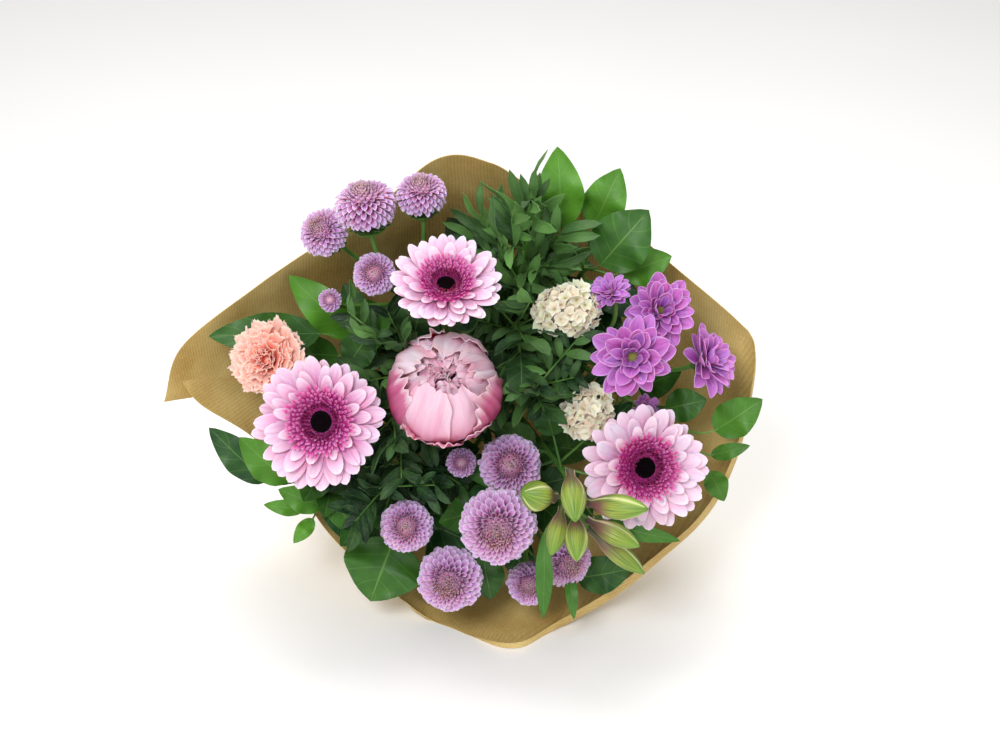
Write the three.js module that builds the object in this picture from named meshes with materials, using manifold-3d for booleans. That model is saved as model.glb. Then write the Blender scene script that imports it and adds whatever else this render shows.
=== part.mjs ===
// Mixed bouquet of cut flowers in a cone of kraft paper, lying on its side.
// Millimetres, +Z up. The origin is on the surface, below the middle of the outline box.
// The flowers are placed in the bouquet's own frame: u to the right, v up across the bunch
// and w along it, from the cut stems to the flowers, with the tied neck at 0, 0, 0.
import * as THREE from 'three';
import { mergeVertices } from 'three/addons/utils/BufferGeometryUtils.js';
import Module from 'manifold-3d';

const wasm = await Module();
wasm.setup();

// How the bunch lies
const AXIS_RISE = THREE.MathUtils.degToRad(20);
const NECK_HEIGHT = 90;
const ORIGIN_SHIFT = [11.65, 50.7];

// Paper wrap
const PAPER_THICKNESS = 0.8;
const PAPER_COLUMNS = 32;
const PAPER_NECK_RADIUS = 20.1;
const PAPER_LAP = 3;
const PAPER_PLEATS = 10.6;
const PLEAT_DEPTH = 1.1;
const PAPER_BELLY = 8;
const PAPER_SAG = 24;
const SKIRT_LENGTH = 62;
const SKIRT_FLARE = 15;
const PAPER_SIDE_STEPS = [0.14, 0.34, 0.56, 0.8, 1];
// Free edge of the paper, from the inner layer's corner at the left, over the top and round
const PAPER_RIM = [
  [-220, 10, 185], [-208, 50, 180], [-155, 90, 165], [-94, 129, 160], [-34, 175, 168],
  [7, 176, 170], [35, 160, 163], [77, 140, 158], [116, 120, 160], [178, 67, 175],
  [194, 42, 183], [189, -20, 176], [168, -73, 170], [128, -115, 172], [59, -160, 180],
  [22, -170, 200], [-29, -160, 174], [-66, -134, 172], [-110, -94, 160], [-139, -55, 155],
  [-165, -20, 162], [-198, 6, 172], [-212, 27, 175],
];

// Stems at the neck stand in a honeycomb and lean round the axis, as in a hand-tied bunch.
// The farthest one stands this many pitches from the axis.
const STEM_PITCH = 5.1;
const FARTHEST_STEM = Math.sqrt(7);
const STEM_RADIUS = 2.4;
const SLIM_STEM_RADIUS = 2.25;
const STEM_SIDES = 5;
const SPIRAL = 1 / 90;
const STEM_BELOW = 186;
const STRAIGHT_ABOVE = 30;
const GATHER = 14 / 190;

// Side stems, leaf stalks and twigs
const BRANCH_RADIUS = 1.4;
const STALK_RADIUS = 1.3;
const TWIG_RADIUS = 0.8;
const STALK_SIDES = 3;

// Cords and clearances
const TWINE_RADIUS = 0.9;
const TIE_RADIUS = 1.5;
const TIE_CLEAR = 0.15;
const CORD_SIDES = 12;
const GAP = 0.35;
const STEM_GAP = 0.2;

// Petals and leaves
const BLADE_THICKNESS = 0.9;
const PETAL_KEEL = 0.18;
const LEAF_KEEL = 0.16;
const LEAF_ARCH = 0.1;
const LEAF_VIEWED_FROM = [0, 0.24, 0.97];

// First seed of the draws for each kind of stem
const SINGLE_SEED = 11;
const SPRAY_SEED = 31;
const PISTACIA_SEED = 71;

const COLOURS = {
  paper: 0xbd9c62, twine: 0xc9b37a, tie: 0xd8c48f, stem: 0x5f8a3c, leaf: 0x3f7d33, leaflet: 0x4c7a45,
  blush: 0xe9b4d4, eye: 0x3a1026, peony: 0xf3cfd8, peach: 0xf7a98c, lilac: 0xb98cc4, magenta: 0xb45cc0,
  cream: 0xe8dcc4, bud: 0x9aa84a,
};

const GERBERAS = [
  { name: 'gerbera_top', front: [-22, 105, 248], facing: [0.05, 0.69, 0.72], diameter: 75, cup: 18 },
  { name: 'gerbera_left', front: [-107, 9, 238], facing: [-0.1, 0.24, 0.97], diameter: 92, cup: 16 },
  { name: 'gerbera_right', front: [112, -23, 238], facing: [0.12, 0.24, 0.96], diameter: 88, cup: 16 },
];
const PEONY = { name: 'peony', front: [-24, 41, 258], facing: [0, 0.5, 0.87], diameter: 76 };
const CARNATION = { name: 'carnation', front: [-147, 48, 214], facing: [-0.25, 0.33, 0.91], diameter: 58 };
const LILAC_SPRAYS = [
  {
    name: 'lilac_top',
    heads: [
      { front: [-112, 138, 204], facing: [-0.45, 0.52, 0.73], diameter: 35 },
      { front: [-79, 166, 215], facing: [-0.15, 0.92, 0.37], diameter: 44 },
      { front: [-40, 170, 212], facing: [-0.05, 0.89, 0.46], diameter: 36 },
      { front: [-71, 108, 222], facing: [0, 0.29, 0.96], diameter: 30 },
      { front: [-103, 87, 205], facing: [-0.1, 0.34, 0.94], diameter: 17 },
    ],
  },
  {
    name: 'lilac_middle',
    heads: [
      { front: [21, -24, 227], facing: [0, 0.29, 0.96], diameter: 45 },
      { front: [12, -64, 264], facing: [0, -0.06, 1], diameter: 54 },
      { front: [-13, -27, 212], facing: [0, 0.2, 0.98], diameter: 22 },
    ],
  },
  {
    name: 'lilac_left',
    heads: [
      { front: [-23, -112, 232], facing: [-0.1, -0.06, 0.99], diameter: 48 },
      { front: [-51, -67, 232], facing: [0, 0.24, 0.97], diameter: 38 },
    ],
  },
  {
    name: 'lilac_right',
    heads: [
      { front: [66, -101, 221], facing: [0.4, -0.08, 0.91], diameter: 39 },
      { front: [35, -120, 208], facing: [0, 0.04, 1], diameter: 33 },
    ],
  },
];
const MAGENTA_SPRAY = {
  name: 'magenta',
  heads: [
    { front: [100, 55, 248], facing: [-0.1, 0.14, 0.98], diameter: 62, rows: [8, 5, 4] },
    { front: [121, 84, 228], facing: [0.1, 0.34, 0.94], diameter: 54, rows: [8, 4, 3] },
    { front: [86, 96, 220], facing: [-0.3, 0.64, 0.69], diameter: 31, rows: [6, 3, 0] },
    { front: [160, 48, 215], facing: [0.7, 0.4, 0.59], diameter: 54, rows: [8, 4, 3] },
    { front: [115, 12, 212], facing: [0.2, 0.2, 0.96], diameter: 22, rows: [5, 2, 0] },
  ],
};
const STATICE = {
  name: 'statice',
  heads: [
    { front: [59, 85, 228], facing: [0, 0.3, 0.95], size: [34, 23, 14] },
    { front: [73, 14, 232], facing: [0, 0.25, 0.97], size: [25, 27, 14] },
  ],
};
const ALSTROEMERIA = {
  name: 'alstroemeria',
  centre: [66, -45, 246],
  buds: [
    { root: [50, -40, 250], tip: [27, -32, 268], width: 22 },
    { root: [60, -22, 252], tip: [62, -46, 288], width: 18 },
    { root: [71, -40, 263], tip: [109, -36, 292], width: 18 },
    { root: [55, -48, 248], tip: [47, -75, 270], width: 15 },
    { root: [64, -52, 250], tip: [64, -78, 273], width: 17 },
    { root: [72, -56, 249], tip: [107, -71, 263], width: 16 },
    { root: [74, -66, 238], tip: [113, -98, 240], width: 15 },
  ],
  leaves: [
    { root: [78, -57, 240], tip: [137, -75, 238], width: 13 },
    { root: [44, -70, 234], tip: [44, -134, 232], width: 12 },
    { root: [62, -80, 222], tip: [66, -138, 222], width: 9 },
  ],
};
const SALAL = [
  {
    name: 'salal_top', target: [74, 104, 172], facing: [0.15, 0.5, 0.85],
    leaves: [
      { root: [56, 132, 182], tip: [52, 188, 192], width: 32 },
      { root: [78, 132, 176], tip: [95, 173, 186], width: 30 },
      { root: [82, 108, 194], tip: [113, 147, 206], width: 42 },
      { root: [98, 100, 184], tip: [131, 114, 191], width: 26 },
    ],
  },
  {
    name: 'salal_right', target: [142, -14, 168], facing: [0.5, 0, 0.87],
    leaves: [
      { root: [130, 6, 188], tip: [158, 14, 194], width: 24 },
      { root: [166, -12, 180], tip: [197, 14, 192], width: 28 },
      { root: [164, -30, 180], tip: [190, -20, 190], width: 12 },
      { root: [164, -42, 178], tip: [174, -62, 186], width: 17 },
    ],
  },
  {
    name: 'salal_left', target: [-84, 38, 140], facing: [-0.4, 0.3, 0.87],
    leaves: [
      { root: [-90, 52, 156], tip: [-134, 97, 168], width: 29 },
      { root: [-112, 56, 168], tip: [-190, 56, 178], width: 30 },
      { root: [-92, 36, 178], tip: [-72, 66, 196], width: 26 },
    ],
  },
  {
    name: 'salal_low_left', target: [-118, -48, 164], facing: [-0.6, -0.3, 0.75],
    leaves: [
      { root: [-152, -50, 178], tip: [-191, -8, 186], width: 25 },
      { root: [-136, -48, 184], tip: [-168, -12, 198], width: 27 },
      { root: [-112, -66, 186], tip: [-142, -50, 197], width: 20 },
      { root: [-126, -70, 180], tip: [-154, -64, 188], width: 12 },
      { root: [-120, -78, 176], tip: [-134, -94, 184], width: 12 },
    ],
  },
  {
    name: 'salal_low', target: [-58, -82, 162], facing: [-0.2, -0.5, 0.85],
    leaves: [
      { root: [-62, -92, 178], tip: [-79, -136, 190], width: 58 },
    ],
  },
  {
    name: 'salal_bottom', target: [22, -92, 160], facing: [0.1, -0.5, 0.85],
    leaves: [
      { root: [70, -122, 180], tip: [110, -112, 187], width: 28 },
      { root: [2, -104, 182], tip: [8, -136, 186], width: 26 },
    ],
  },
];
const PISTACIA = [
  { name: 'pistacia_top', target: [32, 130, 196], facing: [0, 0.75, 0.66], twigs: 6, leaflet: 34 },
  { name: 'pistacia_upper', target: [28, 76, 214], facing: [0.1, 0.3, 0.95], twigs: 4, leaflet: 30 },
  { name: 'pistacia_middle', target: [38, 26, 216], facing: [0, 0.1, 1], twigs: 4, leaflet: 28 },
  { name: 'pistacia_left', target: [-62, 54, 206], facing: [-0.3, 0.3, 0.9], twigs: 4, leaflet: 28 },
  { name: 'pistacia_low_left', target: [-70, -48, 214], facing: [-0.3, -0.2, 0.93], twigs: 5, leaflet: 30 },
  { name: 'pistacia_low', target: [-60, 0, 205], facing: [0, -0.1, 0.98], twigs: 3, leaflet: 28 },
];

const up = new THREE.Vector3(0, 0, 1);
const across = new THREE.Vector3(1, 0, 0);
const vec = (numbers) => new THREE.Vector3(...numbers);
const rad = THREE.MathUtils.degToRad;
const mix = THREE.MathUtils.lerp;

// Direction at an angle from z, turned about it
function towards(polar, turn) {
  return new THREE.Vector3(
    Math.sin(polar) * Math.cos(turn),
    Math.sin(polar) * Math.sin(turn),
    Math.cos(polar),
  );
}

// Seeded draws between 0 and 1, the same on every run
function draws(seed) {
  let state = seed;
  return () => {
    state = (state * 16807) % 2147483647;
    return state / 2147483647;
  };
}

// Solids and meshes
function solidOf(geometry) {
  geometry.deleteAttribute('normal');
  geometry.deleteAttribute('uv');
  const merged = mergeVertices(geometry, 1e-4);
  const solid = new wasm.Manifold(new wasm.Mesh({
    numProp: 3,
    vertProperties: Float32Array.from(merged.attributes.position.array),
    triVerts: Uint32Array.from(merged.index.array),
  }));
  if (solid.volume() <= 0) throw new Error('a form is inside out');
  return solid;
}

function geometryOf(solid) {
  const mesh = solid.getMesh();
  const geometry = new THREE.BufferGeometry();
  geometry.setAttribute('position', new THREE.BufferAttribute(mesh.vertProperties, 3));
  geometry.setIndex(new THREE.BufferAttribute(mesh.triVerts, 1));
  geometry.computeVertexNormals();
  return geometry;
}

// Joins solids and keeps the largest body, so that no loose scrap is left
function join(solids) {
  const bodies = wasm.Manifold.union(solids).decompose();
  bodies.sort((a, b) => b.volume() - a.volume());
  return bodies[0];
}

// Basic forms
function headFrame(origin, facing) {
  const z = vec(facing).normalize();
  const y = new THREE.Vector3().crossVectors(z, across).normalize();
  const x = new THREE.Vector3().crossVectors(y, z);
  return new THREE.Matrix4().makeBasis(x, y, z).setPosition(origin);
}

// Frame whose x runs from root to tip and whose z leans to the wanted side
function bladeFrame(root, tip, side) {
  const x = new THREE.Vector3().subVectors(tip, root).normalize();
  const y = new THREE.Vector3().crossVectors(side, x).normalize();
  const z = new THREE.Vector3().crossVectors(x, y);
  return new THREE.Matrix4().makeBasis(x, y, z).setPosition(root);
}

// Thin blade with a point at each end. Each station gives its place along the blade, its height
// and its half width, and keel is how far the edges stand above the middle for each unit of width.
function blade(root, stations, tip, keel, thickness = BLADE_THICKNESS) {
  const rings = [tip, ...[...stations].reverse(), root];
  const geometry = new THREE.SphereGeometry(1, 4, rings.length - 1);
  const spot = geometry.attributes.position;
  for (let i = 0; i < spot.count; i += 1) {
    const [along, height, half = 0] = rings[Math.floor(i / 5)];
    const column = (i % 5) % 4;
    const side = [1, 0, -1, 0][column] * half;
    const lift = half === 0 ? 0 : [0, thickness / 2, 0, -thickness / 2][column];
    spot.setXYZ(i, along, side, height + lift + Math.abs(side) * keel);
  }
  return geometry;
}

// Closed sheet of even thickness, with both faces split into triangles alike
function sheet(columns, rows, thickness, at) {
  const plane = new THREE.PlaneGeometry(1, 1, columns, rows);
  const spot = plane.attributes.position;
  for (let i = 0; i < spot.count; i += 1) {
    const point = at(spot.getX(i) + 0.5, spot.getY(i) + 0.5);
    spot.setXYZ(i, point.x, point.y, point.z);
  }
  plane.computeVertexNormals();
  const normal = plane.attributes.normal;
  const places = [];
  for (const side of [0.5, -0.5]) {
    for (let i = 0; i < spot.count; i += 1) {
      const step = side * thickness;
      places.push(
        spot.getX(i) + normal.getX(i) * step,
        spot.getY(i) + normal.getY(i) * step,
        spot.getZ(i) + normal.getZ(i) * step,
      );
    }
  }
  const count = spot.count;
  const front = [...plane.index.array];
  const faces = [...front];
  for (let i = 0; i < front.length; i += 3) {
    faces.push(front[i] + count, front[i + 2] + count, front[i + 1] + count);
  }
  const wide = columns + 1;
  const edge = [];
  for (let i = 0; i < columns; i += 1) edge.push(rows * wide + i);
  for (let i = rows; i > 0; i -= 1) edge.push(i * wide + columns);
  for (let i = columns; i > 0; i -= 1) edge.push(i);
  for (let i = 0; i < rows; i += 1) edge.push(i * wide);
  edge.forEach((a, i) => {
    const b = edge[(i + 1) % edge.length];
    faces.push(b, a, a + count, b, a + count, b + count);
  });
  const geometry = new THREE.BufferGeometry();
  geometry.setAttribute('position', new THREE.Float32BufferAttribute(places, 3));
  geometry.setIndex(faces);
  return geometry;
}

// Path that an extrusion follows from station to station, with no step between them
class StationPath extends THREE.Curve {
  constructor(points) {
    super();
    this.points = points;
  }

  getPoint(t) {
    const place = t * (this.points.length - 1);
    const first = Math.min(Math.floor(place), this.points.length - 2);
    return new THREE.Vector3().lerpVectors(this.points[first], this.points[first + 1], place - first);
  }

  getPointAt(t) {
    return this.getPoint(t);
  }

  getTangentAt(t) {
    const reach = 0.5 / (this.points.length - 1);
    const before = this.getPoint(Math.max(0, t - reach));
    return this.getPoint(Math.min(1, t + reach)).sub(before).normalize();
  }
}

function tube(points, radius, sides = STEM_SIDES) {
  const ring = new THREE.Shape();
  for (let i = 0; i < sides; i += 1) {
    const angle = (2 * Math.PI * i) / sides;
    const corner = [radius * Math.cos(angle), radius * Math.sin(angle)];
    if (i === 0) ring.moveTo(...corner);
    else ring.lineTo(...corner);
  }
  ring.closePath();
  return new THREE.ExtrudeGeometry(ring, {
    steps: points.length - 1,
    bevelEnabled: false,
    extrudePath: new StationPath(points),
  });
}

function lathe(profile, segments) {
  const geometry = new THREE.LatheGeometry(profile.map((p) => new THREE.Vector2(...p)), segments);
  return geometry.rotateX(Math.PI / 2);
}

// Moves along a curve that leaves start in one direction and reaches end in another. The two
// shares say how far it holds each direction.
const EASY_BEND = [0.34, 0.34];

function bend(start, leaving, end, arriving, steps, [first, last] = EASY_BEND) {
  const reach = start.distanceTo(end);
  const curve = new THREE.CubicBezierCurve3(
    start,
    start.clone().addScaledVector(leaving, reach * first),
    end.clone().addScaledVector(arriving, -reach * last),
    end,
  );
  return curve.getPoints(steps);
}

// The neck
function honeycomb() {
  const slots = [];
  for (let q = -3; q <= 3; q += 1) {
    for (let r = -3; r <= 3; r += 1) {
      const slot = new THREE.Vector3(STEM_PITCH * (q + r / 2), STEM_PITCH * r * Math.sqrt(0.75), 0);
      if (slot.length() < STEM_PITCH * (FARTHEST_STEM + 0.01)) slots.push(slot);
    }
  }
  return slots;
}

function stemPoint(slot, w) {
  return new THREE.Vector3(slot.x - SPIRAL * w * slot.y, slot.y + SPIRAL * w * slot.x, w);
}

const freeSlots = honeycomb();

// Takes the free place of the neck that lies nearest to where the stem is going
function takeSlot(target) {
  const wanted = new THREE.Vector3(target.x, target.y, 0).multiplyScalar(GATHER);
  let best = 0;
  freeSlots.forEach((slot, i) => {
    if (slot.distanceTo(wanted) < freeSlots[best].distanceTo(wanted)) best = i;
  });
  return freeSlots.splice(best, 1)[0];
}

// World height of a point of the bouquet frame, and how far a stem goes before it meets the surface
function heightOf(point) {
  return NECK_HEIGHT + point.y * Math.cos(AXIS_RISE) + point.z * Math.sin(AXIS_RISE);
}

function stemRoute(slot, target, arriving, steps, shares = EASY_BEND) {
  let below = -STEM_BELOW;
  while (heightOf(stemPoint(slot, below)) < STEM_RADIUS + 0.4) below += 0.25;
  const top = stemPoint(slot, STRAIGHT_ABOVE);
  const leaving = new THREE.Vector3().subVectors(top, stemPoint(slot, 0)).normalize();
  return [stemPoint(slot, below), ...bend(top, leaving, target, arriving, steps, shares)];
}

// Paper
const rimCurve = new THREE.CatmullRomCurve3(PAPER_RIM.map(vec), false, 'catmullrom', 0.5);

function turnOf(point) {
  return Math.atan2(point.y, point.x);
}

// Angle of the paper round the axis, unwound so that it falls steadily along the sheet
const rimTurns = [];
for (let i = 0; i <= PAPER_COLUMNS; i += 1) {
  let turn = turnOf(rimCurve.getPoint(i / PAPER_COLUMNS));
  while (i > 0 && turn > rimTurns[i - 1] + 0.5) turn -= 2 * Math.PI;
  rimTurns.push(turn);
}

function paperPoint(along, row) {
  const rim = rimCurve.getPoint(along);
  const turn = rimTurns[Math.round(along * PAPER_COLUMNS)];
  const lap = PAPER_LAP * along;
  const pleat = PLEAT_DEPTH * Math.cos(2 * Math.PI * PAPER_PLEATS * along);
  const neckRows = [-SKIRT_LENGTH, -SKIRT_LENGTH / 2, -6, 6];
  const last = neckRows.length - 1;
  if (row <= last) {
    const w = neckRows[row];
    const flare = SKIRT_FLARE * (w / SKIRT_LENGTH) ** 2;
    const radius = PAPER_NECK_RADIUS + lap + flare + pleat * (1 + flare / 6);
    return new THREE.Vector3(radius * Math.cos(turn), radius * Math.sin(turn), w);
  }
  const part = PAPER_SIDE_STEPS[row - last - 1];
  const radius = PAPER_NECK_RADIUS + lap + pleat;
  const neck = new THREE.Vector3(radius * Math.cos(turn), radius * Math.sin(turn), neckRows[last]);
  const out = new THREE.Vector3(Math.cos(turn), Math.sin(turn), -0.6).normalize();
  const under = Math.max(0, -Math.sin(turn)) ** 4;
  const belly = (PAPER_BELLY + PAPER_SAG * under) * Math.sin(Math.PI * part);
  return neck.lerp(rim, part).addScaledVector(out, belly);
}

const layDown = new THREE.Matrix4().makeRotationX(Math.PI / 2 - AXIS_RISE).setPosition(0, 0, NECK_HEIGHT);

// The paper is laid on the surface, so what would go below it is flat on it
function paperWrap() {
  const rows = 3 + PAPER_SIDE_STEPS.length;
  const geometry = sheet(PAPER_COLUMNS, rows, PAPER_THICKNESS, (x, y) => (
    paperPoint(x, Math.round(y * rows)).applyMatrix4(layDown)
  ));
  const spot = geometry.attributes.position;
  for (let i = 0; i < spot.count; i += 1) {
    const lowest = i < spot.count / 2 ? PAPER_THICKNESS : 0;
    spot.setZ(i, Math.max(spot.getZ(i), lowest));
  }
  return geometry;
}

// Ring of round cord about the axis at the neck
function cordRing(clear, cord, turns, w) {
  const inner = clear / Math.cos(Math.PI / CORD_SIDES);
  const profile = [];
  for (let turn = 0; turn < turns; turn += 1) {
    profile.push([inner + 2 * cord, w + (turn - 0.25) * 2 * cord]);
    profile.push([inner + 2 * cord, w + (turn + 0.25) * 2 * cord]);
  }
  for (let turn = turns - 1; turn >= 0; turn -= 1) profile.push([inner, w + turn * 2 * cord]);
  profile.push(profile[0]);
  return lathe(profile, CORD_SIDES);
}

// Flower heads, each in its own frame: base at 0, 0, 0 and facing along z
const PETAL_OUTLINE = [[0.4, 0.29], [0.8, 0.46]];

function petalRing({ count, start, radius, width, tilt, lift, twist = 0, random, spread = 0.06 }) {
  const petals = [];
  for (let i = 0; i < count; i += 1) {
    const length = radius * (1 - spread * random());
    const lean = rad(tilt + 5 * (random() - 0.5));
    const height = lift + (i % 2) * 1.1;
    const rise = (x) => height + (x - start) * Math.tan(lean);
    const stations = PETAL_OUTLINE.map(([part, half]) => {
      const along = mix(start, length, part);
      return [along, rise(along), width * half];
    });
    const shape = blade([start, rise(start)], stations, [length, rise(length) - 0.4], PETAL_KEEL);
    const angle = twist + (2 * Math.PI * (i + 0.25 * (random() - 0.5))) / count;
    petals.push(solidOf(shape.rotateZ(angle)));
  }
  return petals;
}

function gerberaPetals({ diameter, cup }, random) {
  const reach = (diameter / 2) * Math.cos(rad(cup)) * 1.03;
  const disc = lathe([[0, 0], [5, 0], [6.5, 5.4], [0, 5.4]], 8);
  const start = 3.6;
  const outer = { count: 14, radius: reach, width: 13, tilt: cup, lift: 1.4 };
  const inner = { count: 8, radius: reach * 0.8, width: 11, tilt: cup + 6, lift: start, twist: 0.2 };
  return join([
    solidOf(disc),
    ...petalRing({ ...outer, start, random }),
    ...petalRing({ ...inner, start, random }),
  ]);
}

// Short inner florets round the dark middle, as teeth on a shallow dish
function gerberaEye({ diameter, cup }) {
  const size = diameter / 92;
  const slope = Math.tan(rad(cup + 8));
  const teeth = 12;
  const profile = [
    [0, 5.75], [5.4, 5.95], [11.5 * size, 6.6 + 6 * slope], [10 * size, 10 + 3 * slope],
    [6 * size, 9.6], [0, 9],
  ];
  const geometry = lathe(profile, teeth);
  const spot = geometry.attributes.position;
  for (let i = 0; i < spot.count; i += 1) {
    const turn = Math.round((Math.atan2(spot.getY(i), spot.getX(i)) * teeth) / (2 * Math.PI));
    const radius = Math.hypot(spot.getX(i), spot.getY(i));
    if (radius > 7 && Math.abs(turn) % 2 === 1) {
      spot.setXYZ(i, spot.getX(i) * 0.86, spot.getY(i) * 0.86, spot.getZ(i));
    }
  }
  return solidOf(geometry);
}

// Green cup under a head, which ends a gap below the head's base
function cup(radius, depth) {
  const profile = [
    [0, -depth], [radius * 0.84, -depth * 0.5], [radius, -GAP], [0, -GAP],
  ];
  return solidOf(lathe(profile, 6));
}

// Cupped petals wrapped round a ball, each a curved patch with a waved rim
function ballPetal({ turn, width, low, high, radius, centre, steps }) {
  return sheet(2, steps, BLADE_THICKNESS, (x, y) => {
    const spread = width * (0.55 + 0.45 * Math.sin(Math.PI * (0.25 + 0.5 * y)));
    const angle = turn + (x - 0.5) * spread;
    const polar = mix(low, high + 0.28 * (2 * x - 1) ** 2, y);
    const sunk = 0.32 * Math.max(0, 1 - 3 * y);
    const reach = radius * (1 - sunk) + 0.5 * y * y * Math.cos(2 * Math.PI * x);
    return towards(polar, angle).multiplyScalar(reach).add(new THREE.Vector3(0, 0, centre));
  });
}

function peonyPetals({ diameter }, random) {
  const radius = diameter / 2;
  const centre = radius * 0.94;
  const core = new THREE.SphereGeometry(radius * 0.66, 7, 5).rotateX(Math.PI / 2);
  core.translate(0, 0, centre * 0.94);
  const petals = [];
  const rows = [
    { count: 5, size: 0.98, width: 1.35, high: 0.72, low: 2.5, steps: 3 },
    { count: 4, size: 0.86, width: 1.55, high: 0.46, low: 1.9, steps: 2 },
    { count: 3, size: 0.74, width: 1.8, high: 0.2, low: 1.6, steps: 2 },
  ];
  rows.forEach(({ count, size, width, high, low, steps }, row) => {
    for (let i = 0; i < count; i += 1) {
      const tucked = i === count - 1 && count % 2 === 1 ? 2 : i % 2;
      petals.push(solidOf(ballPetal({
        turn: (2 * Math.PI * (i + 0.5 * (row % 2))) / count,
        width,
        low,
        steps,
        high: high + 0.16 * random(),
        radius: radius * (size - 0.05 * tucked),
        centre,
      })));
    }
  });
  const base = lathe([[0, 0], [8, 0], [14, 6], [0, 10]], 8);
  return join([solidOf(core), solidOf(base), ...petals]);
}

// Carnation petal: a fan that opens outwards, with a waved and toothed rim
function carnationPetals({ diameter }) {
  const radius = diameter / 2;
  const rows = [
    { count: 5, reach: 1, rim: 0.6, width: 1.2, steps: 2 },
    { count: 4, reach: 0.84, rim: 0.86, width: 1.4, steps: 1 },
    { count: 3, reach: 0.5, rim: 1.02, width: 1.7, steps: 1 },
  ];
  const depth = radius * 0.86;
  const petals = [];
  rows.forEach(({ count, reach, rim, width, steps }, row) => {
    for (let i = 0; i < count; i += 1) {
      const turn = (2 * Math.PI * (i + 0.5 * row)) / count + 0.4 * row;
      petals.push(solidOf(sheet(4, steps, BLADE_THICKNESS, (x, y) => {
        const tooth = Math.cos(4 * Math.PI * x);
        const out = mix(2.5, radius * (reach + 0.05 * tooth * y), y ** 1.3);
        const height = mix(3, depth * rim, Math.sqrt(y)) + 1.2 * y * Math.sin(4 * Math.PI * x + 1);
        const angle = turn + (x - 0.5) * width;
        return new THREE.Vector3(out * Math.cos(angle), out * Math.sin(angle), height);
      })));
    }
  });
  const core = lathe([[0, 0], [4.5, 0], [6.5, 8], [5, depth * 0.7], [0, depth * 0.74]], 7);
  return join([solidOf(core), ...petals]);
}

// Dense pompon of short petals: a dome whose surface is raised into a tip for each petal
function pomponHead({ diameter }) {
  const radius = diameter / 2;
  const turns = diameter > 28 ? 14 : 8;
  const rings = diameter > 28 ? 6 : 5;
  const geometry = new THREE.SphereGeometry(1, turns, rings);
  const spot = geometry.attributes.position;
  for (let i = 0; i < spot.count; i += 1) {
    const column = i % (turns + 1);
    const row = Math.floor(i / (turns + 1));
    const polar = (Math.PI * row) / rings;
    const raised = (column + row) % 2 === 0 && row > 0 && row < rings ? 1 : 0.8;
    const twist = (2 * Math.PI * (column % turns)) / turns;
    const flat = row > rings * 0.62 ? 0.72 : 0.86;
    const reach = radius * raised;
    spot.setXYZ(
      i,
      reach * Math.sin(polar) * Math.cos(twist),
      reach * Math.sin(polar) * Math.sin(twist),
      Math.max(0, radius * flat * (Math.cos(polar) * (raised + 0.06) + 0.86)),
    );
  }
  return solidOf(geometry);
}

// Loose double head with long pointed petals in rows
function daisyHead({ diameter, rows }, random) {
  const radius = diameter / 2;
  const size = diameter / 62;
  const [outer, middle, inner] = rows;
  const core = lathe([[0, 0], [6, 0], [8, 5], [5, 11], [0, 12]], 7).scale(size, size, size);
  const row = (count, reach, tilt, lift, twist) => petalRing({
    count,
    start: 3 * size,
    radius: radius * reach,
    width: 12.5 * size,
    tilt,
    lift: lift * size,
    twist,
    random,
    spread: 0.12,
  });
  return join([
    solidOf(core),
    ...row(outer, 0.97, 14, 2, 0),
    ...row(middle, 0.78, 36, 4.5, 0.3),
    ...row(inner, 0.46, 62, 7, 0.1),
  ]);
}

// Cluster of small florets: a low mound whose surface is raised into a tip for each floret
function staticeHead({ size }) {
  const [wide, high, deep] = size;
  const turns = 14;
  const rings = 6;
  const geometry = new THREE.SphereGeometry(1, turns, rings);
  const spot = geometry.attributes.position;
  for (let i = 0; i < spot.count; i += 1) {
    const column = i % (turns + 1);
    const row = Math.floor(i / (turns + 1));
    const polar = (Math.PI * row) / rings;
    const pole = row === 0 || row === rings;
    const raised = pole || (column + row) % 2 === 0 ? 1 : 0.74;
    const turn = (2 * Math.PI * (column % turns)) / turns;
    spot.setXYZ(
      i,
      (wide / 2) * raised * Math.sin(polar) * Math.cos(turn),
      (high / 2) * raised * Math.sin(polar) * Math.sin(turn),
      Math.max(0, deep * (0.5 + 0.5 * raised * Math.cos(polar))),
    );
  }
  return solidOf(geometry);
}

// Plump bud along x, with a slim neck at its root and a blunt beak at its tip
function budForm(length, width) {
  const outline = [[0, 0], [0.2, 0.62], [0.5, 1], [0.84, 0.62], [1, 0]];
  const geometry = lathe(outline.map(([along, half]) => [(half * width) / 2, along * length]), 5);
  return geometry.rotateY(Math.PI / 2);
}

const LEAF_OUTLINE = [[0.12, 0.56], [0.3, 0.94], [0.5, 0.96], [0.7, 0.68], [0.86, 0.36]];
const STRAP_OUTLINE = [[0.2, 0.8], [0.5, 1], [0.8, 0.6]];
const LEAFLET_OUTLINE = [[0.48, 1]];

// Arched leaf that starts at root and ends at tip, seen from the side it shows
function leafBetween(root, tip, width, side, outline = LEAF_OUTLINE) {
  const length = root.distanceTo(tip);
  const stations = outline.map(([part, half]) => [
    part * length,
    length * LEAF_ARCH * Math.sin(Math.PI * part) ** 2,
    (half * width) / 2,
  ]);
  const shape = blade([0, 0], stations, [length, 0], LEAF_KEEL);
  return solidOf(shape.applyMatrix4(bladeFrame(root, tip, side)));
}

// What stands already, so that each new leaf can be tested against it
const standing = [];
const bouquet = new THREE.Group();

function boxesMeet(a, b, margin) {
  return [0, 1, 2].every((k) => a.min[k] - margin < b.max[k] && b.min[k] - margin < a.max[k]);
}

function isClear(solid, others, gap = GAP) {
  const box = solid.boundingBox();
  return others.every((other) => (
    !boxesMeet(box, other.box, gap) || solid.minGap(other.solid, gap) >= gap * 0.95
  ));
}

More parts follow.
